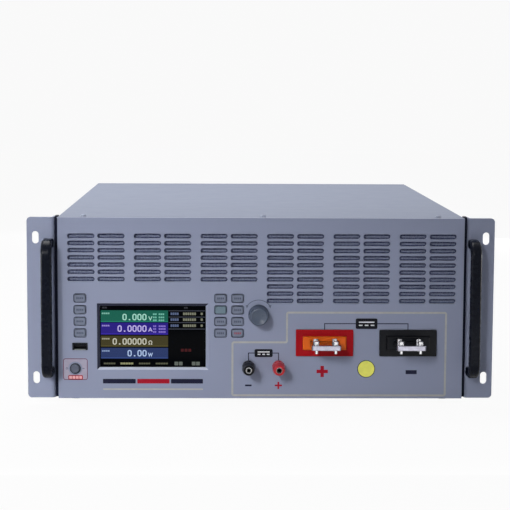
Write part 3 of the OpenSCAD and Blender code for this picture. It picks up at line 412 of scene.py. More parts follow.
class Shape:
    """Closed forms of one material that make up one piece; flat prints lie between two heights."""

    def __init__(self, low=0.0, high=0.0, place=at):
        self.low, self.high, self.place = low, high, place
        self.points, self.faces = [], []

    def skin(self, a, b, count):
        """Faces between two closed loops of points, which start at a and b."""
        self.faces += [(a + i, a + (i + 1) % count, b + (i + 1) % count, b + i) for i in range(count)]

    def loft(self, loops):
        """Skin over outlines at rising heights: loops of (outline, out), closed at both ends."""
        base, count = len(self.points), len(loops[0][0])
        self.points += [self.place(x, z, out) for outline, out in loops for x, z in outline]
        last = base + (len(loops) - 1) * count
        self.faces += [tuple(range(base, base + count)), tuple(range(last, last + count))]
        for start in range(base, last, count):
            self.skin(start, start + count, count)
        return self

    def lathe(self, x, z, profile, steps=64):
        """Profile of (radius, out) turned about an axis out of the face; a zero radius closes it."""
        rings = []
        for radius, out in profile:
            angles = [2 * math.pi * i / steps for i in range(steps if radius else 1)]
            rings.append(range(len(self.points), len(self.points) + len(angles)))
            self.points += [self.place(x + radius * math.cos(a), z + radius * math.sin(a), out)
                            for a in angles]
        for first, second in zip(rings, rings[1:]):
            for i in range(steps):
                quad = [first[i % len(first)], first[(i + 1) % len(first)],
                        second[(i + 1) % len(second)], second[i % len(second)]]
                self.faces.append(tuple(dict.fromkeys(quad)))
        return self

    def plate(self, outline):
        """A filled outline."""
        return self.loft([(outline, self.low), (outline, self.high)])

    def ring(self, outer, inner):
        """A filled outline with a hole; both outlines have as many points."""
        base, count = len(self.points), len(outer)
        for outline, out in ((outer, self.low), (outer, self.high), (inner, self.high), (inner, self.low)):
            self.points += [self.place(x, z, out) for x, z in outline]
        for loop in range(4):
            self.skin(base + loop * count, base + (loop + 1) % 4 * count, count)
        return self

    def box(self, x0, x1, z0, z1, radius=0.2):
        return self.plate(rounded((x0 + x1) / 2, (z0 + z1) / 2, x1 - x0, z1 - z0, radius, 2))

    def line(self, path, width, closed=False):
        """A line of that width along a path, with mitred corners."""
        count, base = len(path), len(self.points)
        for i, (x, z) in enumerate(path):
            before = path[i - 1] if closed or i > 0 else path[i]
            after = path[(i + 1) % count] if closed or i < count - 1 else path[i]
            ways = [Vector((b[0] - a[0], b[1] - a[1])).normalized()
                    for a, b in ((before, (x, z)), ((x, z), after)) if a != b]
            sides = [Vector((-w.y, w.x)) for w in ways]
            across = sum(sides, Vector((0, 0))).normalized()
            across *= width / 2 / max(MITRE_LEAST, across.dot(sides[0]))
            for side, out in ((1, self.low), (-1, self.low), (-1, self.high), (1, self.high)):
                self.points.append(self.place(x + side * across.x, z + side * across.y, out))
        for i in range(count if closed else count - 1):
            self.skin(base + 4 * i, base + 4 * ((i + 1) % count), 4)
        if not closed:
            for end in (base, base + 4 * (count - 1)):
                self.faces.append(tuple(range(end, end + 4)))
        return self

    def marks(self, x0, x1, z, height, count, gap=0.35):
        """A row of plain blocks."""
        step = (x1 - x0 + gap) / count
        for i in range(count):
            self.box(x0 + i * step, x0 + (i + 1) * step - gap, z - height / 2, z + height / 2)
        return self

    def build(self, name, material, body="root", slot=None):
        return piece(name, self.points, self.faces, material, body)


# Camera, light and floor

# Right of the panel's middle, above its bottom edge and out of its face, in mm
CAMERA_PLACE = (-41.7, 327.0, 1625.9)
# Degrees down, to the right and about the line of sight
CAMERA_TURNS = (6.219, 1.238, 0.300)
SENSOR, LENS, FARTHEST = 36, 112.15, 50

WHITE = (1, 1, 1, 1)
AMBIENT = 0.01
WORLD_SHOWN = 0.95
FLOOR_HALF = 6.0
FLOOR_GREY = (0.6, 0.6, 0.61, 1)
FLOOR_SHOWN = 0.95

# Each lamp: name, place, what it faces, width and height (all in m), watts, spread of its grid in degrees
LAMPS = [
    ("front_light", (-1.52, -2.985, 1.35), (-0.53, -0.26, 0.0), (1.3, 1.3), 4.0, 22),
    ("left_light", (-0.80, -0.75, 0.30), (-0.10, -0.26, 0.1), (0.4, 0.4), 1.15, 180),
    ("top_light", (-0.25, 0.25, 1.5), (0, 0.1, 0.2), (1.0, 1.0), 18.8, 180),
    ("floor_bounce", (0.10, -0.55, 0.012), (0.10, -0.262, 0.06), (0.7, 0.04), 0.16, 180),
    ("left_fill", (-1.50, 0.10, 0.10), (-0.21, 0.1, 0.1), (1.2, 0.16), 9, 180),
    ("right_fill", (1.50, 0.10, 0.10), (0.21, 0.1, 0.1), (1.2, 0.16), 9, 180),
    ("rear_fill", (0.20, 1.60, 0.10), (0, 0.28, 0.1), (1.2, 0.16), 9, 180),
]


def make_camera():
    """The photograph's view: place, three turns and lens."""
    pitch, yaw, roll = (math.radians(turn) for turn in CAMERA_TURNS)
    ahead = Vector((math.sin(yaw) * math.cos(pitch), math.cos(yaw) * math.cos(pitch), -math.sin(pitch)))
    right = Vector((math.cos(yaw), -math.sin(yaw), 0))
    up = right.cross(ahead)
    across = right * math.cos(roll) + up * math.sin(roll)
    above = up * math.cos(roll) - right * math.sin(roll)
    camera = bpy.data.cameras.new("camera")
    camera.sensor_width = SENSOR
    camera.lens = LENS
    camera.clip_end = FARTHEST
    made = bpy.data.objects.new("camera", camera)
    turned = Matrix((across, above, -ahead)).transposed().to_4x4()
    made.matrix_world = Matrix.Translation(at(*CAMERA_PLACE)) @ turned
    bpy.context.scene.collection.objects.link(made)
    bpy.context.scene.camera = made


def make_lamp(name, place, target, size, watts, spread):
    """A softbox that faces a target."""
    lamp = bpy.data.lights.new(name, "AREA")
    lamp.shape = "RECTANGLE"
    lamp.size, lamp.size_y = size
    lamp.energy = watts
    lamp.spread = math.radians(spread)
    made = bpy.data.objects.new(name, lamp)
    made.location = place
    made.rotation_euler = (Vector(target) - Vector(place)).to_track_quat("-Z", "Y").to_euler()
    made.visible_camera = False
    bpy.context.scene.collection.objects.link(made)


def seen_rays(tree):
    """One or more for rays from the camera, also by way of metal and glass."""
    path = tree.nodes.new("ShaderNodeLightPath")
    total = path.outputs["Is Camera Ray"]
    for kind in ("Is Glossy Ray", "Is Transmission Ray"):
        both = tree.nodes.new("ShaderNodeMath")
        tree.links.new(total, both.inputs[0])
        tree.links.new(path.outputs[kind], both.inputs[1])
        total = both.outputs["Value"]
    return total


def make_world():
    """White to the eye, with little light of its own."""
    world = bpy.data.worlds.new("studio")
    world.use_nodes = True
    tree = world.node_tree
    background = tree.nodes["Background"]
    background.inputs["Color"].default_value = WHITE
    strength = tree.nodes.new("ShaderNodeMapRange")
    strength.inputs["To Min"].default_value = AMBIENT
    strength.inputs["To Max"].default_value = WORLD_SHOWN
    tree.links.new(seen_rays(tree), strength.inputs["Value"])
    tree.links.new(strength.outputs["Result"], background.inputs["Strength"])
    bpy.context.scene.world = world


def make_floor():
    """Pale floor that reads white and keeps a faint shadow."""
    mesh = bpy.data.meshes.new("floor")
    corners = [(side * FLOOR_HALF, rise * FLOOR_HALF, 0) for side, rise in CORNERS]
    mesh.from_pydata(corners, [], [(0, 1, 2, 3)])
    floor_finish = Finish("floor", Base_Color=FLOOR_GREY, Roughness=0.9, Specular_IOR_Level=0.0)
    tree = floor_finish.tree
    white = floor_finish.node("ShaderNodeEmission", Color=WHITE)
    share = floor_finish.node("ShaderNodeMapRange", Value=seen_rays(tree), To_Max=FLOOR_SHOWN)
    mix = floor_finish.node("ShaderNodeMixShader", Fac=share.outputs["Result"])
    tree.links.new(floor_finish.shader.outputs["BSDF"], mix.inputs[1])
    tree.links.new(white.outputs["Emission"], mix.inputs[2])
    tree.links.new(mix.outputs["Shader"], tree.nodes["Material Output"].inputs["Surface"])
    mesh.materials.append(floor_finish.material)
    made = bpy.data.objects.new("floor", mesh)
    bpy.context.scene.collection.objects.link(made)


bpy.context.scene.view_settings.view_transform = "Standard"
make_camera()
make_world()
make_floor()
for lamp_row in LAMPS:
    make_lamp(*lamp_row)


# Keys

KEY_EDGE = 0.5
KEY_EDGE_STEPS = 4
KEY_RADIUS, KEY_LEAST_R = 1.6, 0.3
KEY_LIP = 1.2
KEY_GAP = 0.6
KEY_DISH, KEY_DISH_IN = 0.08, 1.0
FLANGE_LOW, FLANGE_HIGH = -4.3, -3.3
# Width of the painted shade line round each key
SURROUND_W = 0.55
STEM_D = 3.5
LEGEND_W, LEGEND_H = 7.0, 1.9
LEGEND_BLOCKS, LEGEND_GAP = 4, 0.5
LEGEND_BELOW, LEGEND_ABOVE = 0.2, 0.03


def make_key(node):
    """A key cap with a rounded edge and a shallow dish, its flange and stem, and a plain legend."""
    x0, x1, z0, z1, low, high = panel_box(node)
    x, z = middle(node)
    width, height = x1 - x0 - 2 * KEY_LIP, z1 - z0 - 2 * KEY_LIP

    def cap(inset):
        return rounded(x, z, width - 2 * inset, height - 2 * inset, max(KEY_LEAST_R, KEY_RADIUS - inset))

    stem = rounded(x, z, STEM_D, STEM_D, STEM_D / 2)
    flange = rounded(x, z, x1 - x0, z1 - z0, KEY_RADIUS)
    loops = [(stem, low), (stem, FLANGE_LOW), (flange, FLANGE_LOW), (flange, FLANGE_HIGH)]
    loops += [(cap(0), FLANGE_HIGH)]
    for step in range(KEY_EDGE_STEPS + 1):
        angle = math.pi / 2 * step / KEY_EDGE_STEPS
        loops.append((cap(KEY_EDGE * (1 - math.cos(angle))), high - KEY_EDGE * (1 - math.sin(angle))))
    loops += [(cap(KEY_EDGE + KEY_DISH_IN), high - KEY_DISH)]
    material = key_pale if node == PALE_KEY else key_plastic
    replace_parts(Shape().loft(loops).build(node + "_cap", material, node, "key_plastic"), node)
    if node == PALE_KEY:
        return
    legend = Shape(high - LEGEND_BELOW, high - LEGEND_ABOVE)
    legend.marks(x - LEGEND_W / 2, x + LEGEND_W / 2, z, LEGEND_H, LEGEND_BLOCKS, LEGEND_GAP)
    legend.build(node + "_legend", rose_ink if node == RED_LEGEND_KEY else legend_ink, node)


def make_key_surrounds():
    """Dark line round each key: painted shade of the gap between key and panel."""
    lines = Shape(*INK)
    more = 2 * (KEY_GAP - KEY_LIP) + SURROUND_W
    for node in KEYS:
        x0, x1, z0, z1, _, _ = panel_box(node)
        hole = rounded(*middle(node), x1 - x0 + more, z1 - z0 + more, KEY_RADIUS + KEY_GAP)
        lines.line(hole, SURROUND_W, closed=True)
    lines.build("key_surrounds", surround_ink)


for key_node in KEYS:
    make_key(key_node)
make_key_surrounds()


# Display picture

LENS_OUT = panel_box("display_lens")[5]
PICTURE = (LENS_OUT - 0.02, LENS_OUT + 0.04)
MARKING = (LENS_OUT, LENS_OUT + 0.08)
BAND_X = (-165.6, -96.1)
BAND_LINE = (0.6, 1.1)
BAND_LINE_GAIN = 2.4
DIGIT_END = -120.5
DIGIT_PITCH = 5.12
DIGIT_W, DIGIT_H, DIGIT_R = 3.2, 5.7, 1.55
DIGIT_STROKE = 1.15
POINT_HALF, POINT_BELOW, POINT_ABOVE = 0.75, 0.5, 0.9
UNIT_X, UNIT_DROP = -114.4, 1.2
UNIT_STROKE = 0.8
NAME_X = (1.2, 9)
NAME_DROP, NAME_H, NAME_BLOCKS = 3.2, 1.6, 4
NAME_LIT = 0.7

V_STROKES = [[(-1.7, 1.9), (0, -1.9), (1.7, 1.9)]]
A_STROKES = [[(-1.9, -1.9), (0, 1.9), (1.9, -1.9)], [(-1.1, -0.6), (1.1, -0.6)]]
OHM_STROKES = [[(-2, -1.7), (-0.8, -1.7)] + arc(0, 0.3, 1.6, 240, -60, 12) + [(0.8, -1.7), (2, -1.7)]]
W_STROKES = [[(-2.1, 1.7), (-1.1, -1.7), (0, 0.9), (1.1, -1.7), (2.1, 1.7)]]

Band = namedtuple("Band", "name low high digits_z text unit colour lit")
BANDS = [
    Band("voltage", 79.5, 91.8, 84.8, "0.000", V_STROKES, (24, 102, 84), (178, 236, 218)),
    Band("current", 66.4, 79.0, 72.8, "0.0000", A_STROKES, (42, 27, 136), (206, 192, 252)),
    Band("resistance", 53.8, 65.3, 59.3, "0.00000", OHM_STROKES, (66, 60, 26), (212, 210, 192)),
    Band("power", 41.3, 52.6, 47.0, "0.00", W_STROKES, (40, 58, 108), (184, 208, 246)),
]

STRIP_Z, TOP_MARKS_Z, STATE_Z = 36.2, 94.6, 50.2
# Rows of plain blocks: height and gap of the blocks, heights of the rows, runs of (left, right, blocks)
Blocks = namedtuple("Blocks", "name colour height gap rows runs")
LIMIT_BLOCKS = [
    Blocks("marks_voltage", (118, 196, 176), 1.7, 0.35, (87.8, 84.5, 81.5),
           [(-111.7, -107.9, 2), (-105.8, -100.1, 3)]),
    Blocks("marks_current", (144, 122, 220), 1.7, 0.35, (75.3, 72.4, 69.3),
           [(-111.4, -108.4, 2), (-105.8, -98.7, 4)]),
]
STRIP_BLOCKS = [
    Blocks("strip_marks", (96, 97, 78), 1.7, 0.35, (STRIP_Z,),
           [(-162.6, -150.7, 5), (-126.3, -114.7, 5), (-108.9, -96.3, 5)]),
    Blocks("strip_mark_chosen", (158, 158, 118), 1.9, 0.35, (STRIP_Z,), [(-145.3, -132.2, 5)]),
    Blocks("strip_soft_keys", (104, 110, 104), 3.8, 0.7, (STRIP_Z,), [(-89.4, -81.1, 2), (-71.4, -63.3, 2)]),
    Blocks("strip_top_marks", (58, 60, 66), 1.7, 0.35, (TOP_MARKS_Z,),
           [(-164.0, -159.2, 2), (-79.5, -75.9, 2)]),
    Blocks("state_mark", (70, 10, 15), 3.0, 0.9, (STATE_Z,), [(-82.8, -72.2, 3)]),
]

TABLE_X = (-95.6, -57.6)
TABLE_LINES = (91.4, 84.9, 79.1, 72.4)
TABLE_LINE_HALF, TABLE_LINE_R = 0.3, 0.1
TABLE_ROWS = (88.3, 82.2, 75.9)
TABLE_TEXT_H = 2.6
TABLE_NAME_X, TABLE_VALUE_X, TABLE_UNIT_X = (-93.5, -85.2), (-80.6, -67.3), (-62.4, -60.2)
TABLE_NAME_BLOCKS, TABLE_VALUE_BLOCKS, TABLE_VALUE_GAP = 4, 6, 0.5
TABLE_UNIT_HALF, TABLE_UNIT_R = 1.2, 0.5


def show(name, shape, colour):
    """A part of the display's picture, lit in a colour of its own."""
    shape.build(name, glow(name, colour))


def make_band(band):
    """One coloured reading: band, its bottom line, digits with their unit, and a plain name."""
    colour = srgb(*band.colour)
    show(f"band_{band.name}", Shape(*PICTURE).box(*BAND_X, band.low, band.high), colour)
    bottom = Shape(*MARKING).box(*BAND_X, band.low + BAND_LINE[0], band.low + BAND_LINE[1])
    show(f"line_{band.name}", bottom, scaled(colour, BAND_LINE_GAIN))
    digits = Shape(*MARKING)
    foot_z = band.digits_z - DIGIT_H / 2
    for place, mark in enumerate(reversed(band.text)):
        x = DIGIT_END - place * DIGIT_PITCH
        if mark == "0":
            digits.line(rounded(x, band.digits_z, DIGIT_W, DIGIT_H, DIGIT_R), DIGIT_STROKE, closed=True)
        else:
            digits.box(x - POINT_HALF, x + POINT_HALF, foot_z - POINT_BELOW, foot_z + POINT_ABOVE)
    for path in band.unit:
        digits.line([(UNIT_X + x, band.digits_z - UNIT_DROP + z) for x, z in path], UNIT_STROKE)
    show(f"digits_{band.name}", digits, srgb(*band.lit))
    dim = [(1 - NAME_LIT) * a + NAME_LIT * b for a, b in zip(band.colour, band.lit)]
    name_mark = Shape(*MARKING).marks(BAND_X[0] + NAME_X[0], BAND_X[0] + NAME_X[1], band.high - NAME_DROP,
                                      NAME_H, NAME_BLOCKS)
    show(f"label_{band.name}", name_mark, srgb(*dim))


def make_blocks(blocks):
    """Rows of plain blocks, with no lettering."""
    made = Shape(*MARKING)
    for z in blocks.rows:
        for x0, x1, count in blocks.runs:
            made.marks(x0, x1, z, blocks.height, count, blocks.gap)
    show(blocks.name, made, srgb(*blocks.colour))


def make_table():
    """Lines, names and values of the small table at the display's right."""
    lines, names, values = Shape(*MARKING), Shape(*MARKING), Shape(*MARKING)
    for z in TABLE_LINES:
        lines.box(*TABLE_X, z - TABLE_LINE_HALF, z + TABLE_LINE_HALF, TABLE_LINE_R)
    for z in TABLE_ROWS:
        names.marks(*TABLE_NAME_X, z, TABLE_TEXT_H, TABLE_NAME_BLOCKS)
        values.marks(*TABLE_VALUE_X, z, TABLE_TEXT_H, TABLE_VALUE_BLOCKS, TABLE_VALUE_GAP)
        values.box(*TABLE_UNIT_X, z - TABLE_UNIT_HALF, z + TABLE_UNIT_HALF, TABLE_UNIT_R)
    show("table_lines", lines, srgb(78, 82, 94))
    show("table_names", names, srgb(92, 106, 140))
    show("table_values", values, srgb(134, 136, 118))


for band_row in BANDS:
    make_band(band_row)
for blocks_row in LIMIT_BLOCKS:
    make_blocks(blocks_row)
make_table()
for blocks_row in STRIP_BLOCKS:
    make_blocks(blocks_row)


# Panel prints

BORDER = [(-29.4, 3.1), (-29.4, 58.8), (27.0, 58.8), (27.0, 90.0), (191.9, 90.0), (191.9, 3.1)]
BORDER_R, BORDER_W = 1.6, 2.0

# Signs: half of their length and half of their stroke
SENSE_SIGN_Z, SENSE_MINUS, SENSE_PLUS = 13.5, (3.4, 0.9), (3.8, 0.9)
INPUT_PLUS_AT, INPUT_PLUS = (63.9, 28.3), (5.9, 1.8)
INPUT_MINUS_AT, INPUT_MINUS = (156.5, 27.7), (5.8, 2.1)
PLUS_R = 0.1

STRIPE_Z, STRIPE_R = (15.4, 20.2), 0.6
DARK_STRIPES = ((-163.5, -129.6), (-93.0, -59.9))
RED_STRIPE = (-128.0, -94.6)
TRIM_X, TRIM_Z = (-163.5, -59.9), (8.6, 10.2)

POWER_FRAME = (-191.9, 30.3, 24.6, 21.8, 2.0)
POWER_FRAME_W = 0.7
POWER_HOLE_D = 14.6
POWER_BAR, POWER_BAR_R = (-199.3, -184.3, 19.5, 24.0), 0.7
POWER_MARKS_X, POWER_MARKS_Z, POWER_MARKS_H = (-198.4, -185.2), 21.75, 2.9
POWER_BLOCKS, POWER_BLOCK_GAP = 4, 0.5
OFF_SHIFT, OFF_SIZE, OFF_STROKE = 8.6, (1.6, 1.8, 0.8), 0.5
ON_X, ON_HALF = (7.4, 9.6), 0.35

KNOB_ARC_AT, KNOB_ARC_R, KNOB_ARC_W = (-2.6, 88.6), 14.4, 0.8
KNOB_ARC_TURN = (36, 144)
ARROW_SHIFT = (11.9, 8.0)
ARROW = ((-1.6, 0.6), (0.2, -2.4), (1.5, 1.2))


def round_path(corners, radius, steps=4):
    """A closed path with its corners rounded."""
    path = []
    for i, corner in enumerate(corners):
        here = Vector(corner)
        start = here + (Vector(corners[i - 1]) - here).normalized() * radius
        end = here + (Vector(corners[(i + 1) % len(corners)]) - here).normalized() * radius
        for step in range(steps + 1):
            t = step / steps
            point = start * (1 - t) ** 2 + here * 2 * t * (1 - t) + end * t ** 2
            path.append((point.x, point.y))
    return path


def add_minus(shape, x, z, half, stroke):
    shape.box(x - half, x + half, z - stroke, z + stroke)


def add_plus(shape, x, z, half, stroke):
    shape.box(x - half, x + half, z - stroke, z + stroke, PLUS_R)
    shape.box(x - stroke, x + stroke, z + stroke, z + half, PLUS_R)
    shape.box(x - stroke, x + stroke, z - half, z - stroke, PLUS_R)


def make_signs():
    """Border, polarity signs, stripes under the display and the bar under the power button."""
    Shape(*INK).line(round_path(BORDER, BORDER_R), BORDER_W, closed=True).build("border_print", gold_ink)
    dark, red = Shape(*INK), Shape(*INK)
    add_minus(dark, middle("sense_cap_negative")[0], SENSE_SIGN_Z, *SENSE_MINUS)
    add_minus(dark, *INPUT_MINUS_AT, *INPUT_MINUS)
    for stripe in DARK_STRIPES:
        dark.box(*stripe, *STRIPE_Z, STRIPE_R)
    add_plus(red, middle("sense_cap_positive")[0], SENSE_SIGN_Z, *SENSE_PLUS)
    add_plus(red, *INPUT_PLUS_AT, *INPUT_PLUS)
    red.box(*RED_STRIPE, *STRIPE_Z, STRIPE_R)
    red.box(*POWER_BAR, POWER_BAR_R)
    dark.build("signs_dark", dark_ink)
    red.build("signs_red", red_ink)
    Shape(*INK).box(*TRIM_X, *TRIM_Z, STRIPE_R).build("trim_line", gold_ink)


def make_power_prints():
    """Blocks on the power bar, the field and frame round the power button, and its signs for off and on."""
    bar_marks = Shape(*OVERPRINT)
    bar_marks.marks(*POWER_MARKS_X, POWER_MARKS_Z, POWER_MARKS_H, POWER_BLOCKS, POWER_BLOCK_GAP)
    bar_marks.build("power_bar_marks", pink_ink)
    x, z = middle("power_button")
    edge = rounded(*POWER_FRAME)
    hole = rounded(x, z, POWER_HOLE_D, POWER_HOLE_D, POWER_HOLE_D / 2)
    Shape(*FIELD).ring(edge, hole).build("power_field", mauve_ink)
    Shape(*INK).line(edge, POWER_FRAME_W, closed=True).build("power_frame", maroon_ink)
    signs = Shape(*INK).line(rounded(x - OFF_SHIFT, z, *OFF_SIZE), OFF_STROKE, closed=True)
    signs.box(x + ON_X[0], x + ON_X[1], z - ON_HALF, z + ON_HALF).build("power_signs", grey_ink)


def make_knob_arc():
    """The arc over the knob, with an arrow at each end."""
    turn = Shape(*INK).line(arc(*KNOB_ARC_AT, KNOB_ARC_R, *KNOB_ARC_TURN), KNOB_ARC_W)
    for way in (-1, 1):
        x, z = KNOB_ARC_AT[0] + way * ARROW_SHIFT[0], KNOB_ARC_AT[1] + ARROW_SHIFT[1]
        turn.plate([(x + way * across, z + rise) for across, rise in ARROW])
    turn.build("knob_arc", grey_ink)


make_signs()
make_power_prints()
make_knob_arc()


# Labels

# Left, right, lowest and highest edge
INPUT_LABEL = (98.2, 120.7, 73.0, 84.0)
SENSE_LABEL = (-6.5, 12.3, 43.4, 51.7)
LABEL_R = 1.6
# How far each outline is drawn in, and its height
LABEL_STEPS = ((0, -0.02), (0, 0.3), (0.15, 0.42))
DROP_W, DROP_START = 0.9, 1
SIGN_OUT = (0.4, 0.5)
SIGN_MARGIN, SIGN_RISE, SIGN_HALF = 3.2, 0.15, 0.6
SIGN_DASHES, SIGN_GAP = 3, 0.3

SPOT_AT = (109.6, 31.0)
SPOT_R, SPOT_RIM_R = 8.5, 9.2
SPOT_OUT = (0.04, 0.12)


def make_label(name, x0, x1, z0, z1, drops):
    """A black label with round corners, the sign for direct current, and lines down to what it names."""
    x, z = (x0 + x1) / 2, (z0 + z1) / 2
    loops = [(rounded(x, z, x1 - x0 - 2 * inset, z1 - z0 - 2 * inset, LABEL_R - inset), out)
             for inset, out in LABEL_STEPS]
    Shape().loft(loops).build(name, label_film)
    lines = Shape(*INK)
    for foot_x, foot_z in drops:
        start = x0 + DROP_START if foot_x < x else x1 - DROP_START
        lines.line([(start, z), (foot_x, z), (foot_x, foot_z)], DROP_W)
    lines.build(name + "_lines", dark_ink)
    half, rise = (x1 - x0) / 2 - SIGN_MARGIN, (z1 - z0) * SIGN_RISE
    sign = Shape(*SIGN_OUT).box(x - half, x + half, z + rise - SIGN_HALF, z + rise + SIGN_HALF)
    sign.marks(x - half, x + half, z - rise, 2 * SIGN_HALF, SIGN_DASHES, half * SIGN_GAP)
    sign.build(name + "_mark", white_ink)


def make_disc(name, radius, low, high, material):
    profile = [(0, low), (radius, low), (radius, high), (0, high)]
    Shape().lathe(*SPOT_AT, profile).build(name, material)


plate_top = panel_box("terminal_plate_positive")[3]
make_label("input_label", *INPUT_LABEL,
           [(middle(node)[0], plate_top) for node in ("busbar_positive", "busbar_negative")])
post_top = panel_box("sense_collar_negative")[3]
make_label("sense_label", *SENSE_LABEL,
           [(middle(node)[0], post_top) for node in ("sense_cap_negative", "sense_cap_positive")])
make_disc("spot_rim", SPOT_RIM_R, *INK, dark_ink)
make_disc("spot", SPOT_R, *SPOT_OUT, yellow_ink)


# Knob and power button

KNOB_BORE_R, KNOB_BORE_END = 3.05, 2.6
KNOB_HOLLOW_R, KNOB_HOLLOW_END = 7.4, 3.0
KNOB_TAPER = 1.6
KNOB_FOOT_EDGE = 0.4
KNOB_FOOT_H, KNOB_STEP_H, KNOB_STEP = 1.6, 2.0, 0.25
KNOB_EDGE, KNOB_EDGE_STEPS = 1.3, 6
KNOB_NECK, KNOB_NECK_DROP = 0.12, 2.2
KNOB_DISH = 1.4
KNOB_DISH_STEPS = (0.84, 0.76, 0.66, 0.52, 0.36, 0.18)

BUTTON_EDGE, BUTTON_EDGE_STEPS = 0.8, 5
BUTTON_DISH = 0.45
BUTTON_DISH_STEPS = (0.75, 0.6, 0.4, 0.2)


def round_edge(radius, high, edge, steps):
    """Profile of a quarter round between a side and a front."""
    angles = [math.pi / 2 * i / steps for i in range(steps + 1)]
    return [(radius - edge * (1 - math.cos(a)), high - edge * (1 - math.sin(a))) for a in angles]


def dished(radius, high, depth, shares):
    """Profile of a shallow hollow in a front; the first share of the radius is its rim."""
    return [(radius * s, high - depth * (1 - (s / shares[0]) ** 2)) for s in shares] + [(0, high - depth)]


def make_knob():
    """The knob: a hollow foot with a step, a tapered side and a dished front."""
    x0, x1, _, _, low, high = panel_box("knob")
    foot_r = (x1 - x0) / 2
    front_r = foot_r - KNOB_TAPER
    profile = [(0, high - KNOB_BORE_END), (KNOB_BORE_R, high - KNOB_BORE_END)]
    profile += [(KNOB_BORE_R, KNOB_HOLLOW_END), (KNOB_HOLLOW_R, KNOB_HOLLOW_END), (KNOB_HOLLOW_R, low)]
    profile += [(foot_r - KNOB_FOOT_EDGE, low), (foot_r, low + KNOB_FOOT_EDGE)]
    profile += [(foot_r, low + KNOB_FOOT_H), (foot_r - KNOB_STEP, low + KNOB_STEP_H)]
    profile += [(front_r + KNOB_NECK, high - KNOB_NECK_DROP)]
    profile += round_edge(front_r, high, KNOB_EDGE, KNOB_EDGE_STEPS)
    profile += dished(front_r, high, KNOB_DISH, KNOB_DISH_STEPS)
    made = Shape().lathe(*middle("knob"), profile).build("knob_cap", knob_plastic, "knob", "knob_plastic")
    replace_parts(made, "knob")


def make_power_button():
    """The round power button with a soft edge and a dished front."""
    x0, x1, _, _, low, high = panel_box("power_button")
    radius = (x1 - x0) / 2
    profile = [(0, low), (radius, low)]
    profile += round_edge(radius, high, BUTTON_EDGE, BUTTON_EDGE_STEPS)
    profile += dished(radius, high, BUTTON_DISH, BUTTON_DISH_STEPS)
    button = Shape().lathe(*middle("power_button"), profile)
    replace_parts(button.build("power_cap", button_grey, "power_button", "key_plastic"), "power_button")


make_knob()
make_power_button()


# Foam pads in the vent slots

# Columns stand in pairs; the left and the right half of them have their own number of rows
VENT_COLUMNS = 12
VENT_ROWS = (7, 10)
VENT_TOP, VENT_PITCH, VENT_X = 19.0, 7.44, 1.0
VENT_GROUP, VENT_SHIFT = 68.4, 15.5
PAD_L, PAD_H = 24.6, 1.8
PAD_SHIFT = (0.5, -0.15)
# How far each outline is drawn in, and its height
PAD_STEPS = ((0, -3.2), (0, -1.9), (0.2, -1.5), (0.5, -1.3))


def make_pads():
    """Filter foam that swells into each slot of the panel."""
    pads = Shape()
    for column in range(VENT_COLUMNS):
        pair = column // 2 - (VENT_COLUMNS / 2 - 1) / 2
        side = column % 2 * 2 - 1
        x = VENT_X + pair * VENT_GROUP + side * VENT_SHIFT + PAD_SHIFT[0]
        for row in range(VENT_ROWS[column // (VENT_COLUMNS // 2)]):
            z = PANEL_H - VENT_TOP - row * VENT_PITCH + PAD_SHIFT[1]
            pads.loft([(rounded(x, z, PAD_L - 2 * inset, PAD_H - 2 * inset, PAD_H / 2 - inset), out)
                       for inset, out in PAD_STEPS])
    pads.build("filter_pads", pad_foam, slot="foam")


make_pads()


# Sockets

LINER_RIMS = {"sense_cap_negative": 2.5, "sense_cap_positive": 2.75}
LINER_R, LINER_DEPTH, LINER_SEAT = 1.98, 19.8, 0.05
LINER_BORE_R, LINER_BORE_DEPTH = 1.75, 19
LEAD_R, LEAD_DEPTH = 1.9, 0.3
RIM_SIDE, RIM_OUT, RIM_CHAMFER = 0.1, 0.2, 0.15
LINER_FACETS = 32

USB_SPRING_HALF, USB_SPRING_Z, USB_SPRING_OUT = 5.8, (-3.6, -2.6), (-0.3, 0.05)
USB_EDGE, USB_EDGE_W, USB_EDGE_OUT = (14.9, 6.8, 0.6), 0.3, (-0.3, 0.04)


def make_liners():
    """Insulating liners of the sense sockets, with a rim in front of each."""
    front = panel_box("sense_studs")[5]
    for node, rim in LINER_RIMS.items():
        profile = [(0, -LINER_DEPTH), (LINER_R, -LINER_DEPTH), (LINER_R, -LINER_SEAT), (rim, -LINER_SEAT),
                   (rim, RIM_SIDE), (rim - RIM_CHAMFER, RIM_OUT), (LEAD_R, RIM_OUT),
                   (LINER_BORE_R, -LEAD_DEPTH), (LINER_BORE_R, -LINER_BORE_DEPTH), (0, -LINER_BORE_DEPTH)]
        liner = Shape().lathe(*middle(node), [(r, front + out) for r, out in profile], LINER_FACETS)
        liner.build(node + "_bore", black_plastic)


def make_usb_contacts():
    """Spring and shell edge of the USB port."""
    x, z = middle("usb_port")
    front = panel_box("usb_port")[5]
    spring = Shape(*(front + out for out in USB_SPRING_OUT))
    spring.box(x - USB_SPRING_HALF, x + USB_SPRING_HALF, z + USB_SPRING_Z[0], z + USB_SPRING_Z[1])
    spring.build("usb_spring", dull_steel)
    edge = Shape(*(front + out for out in USB_EDGE_OUT))
    edge.line(rounded(x, z, *USB_EDGE), USB_EDGE_W, closed=True).build("usb_shell_edge", dark_steel)


make_liners()
make_usb_contacts()


# Screws

SAME_POINT = 1e-6
SAME_LEVEL = 1e-5
SCREW_FACETS = 40
# Shares of the head's radius: its side, and reach and half width of the cross
HEAD_SIDE = 0.9
CROSS_REACH, CROSS_HALF = 0.52, 0.13
# Size of the cross at its floor, as a share of that at its mouth
CROSS_TAPER = 0.8
# Shares of the head's height
CROSS_DEPTH = 0.6
HEAD_STEPS = (0.35, 0.6, 0.8, 0.93, 1.0)
# The dome draws in by about 0.3 of the head's radius at its top
HEAD_DOME = 0.3 / 0.42


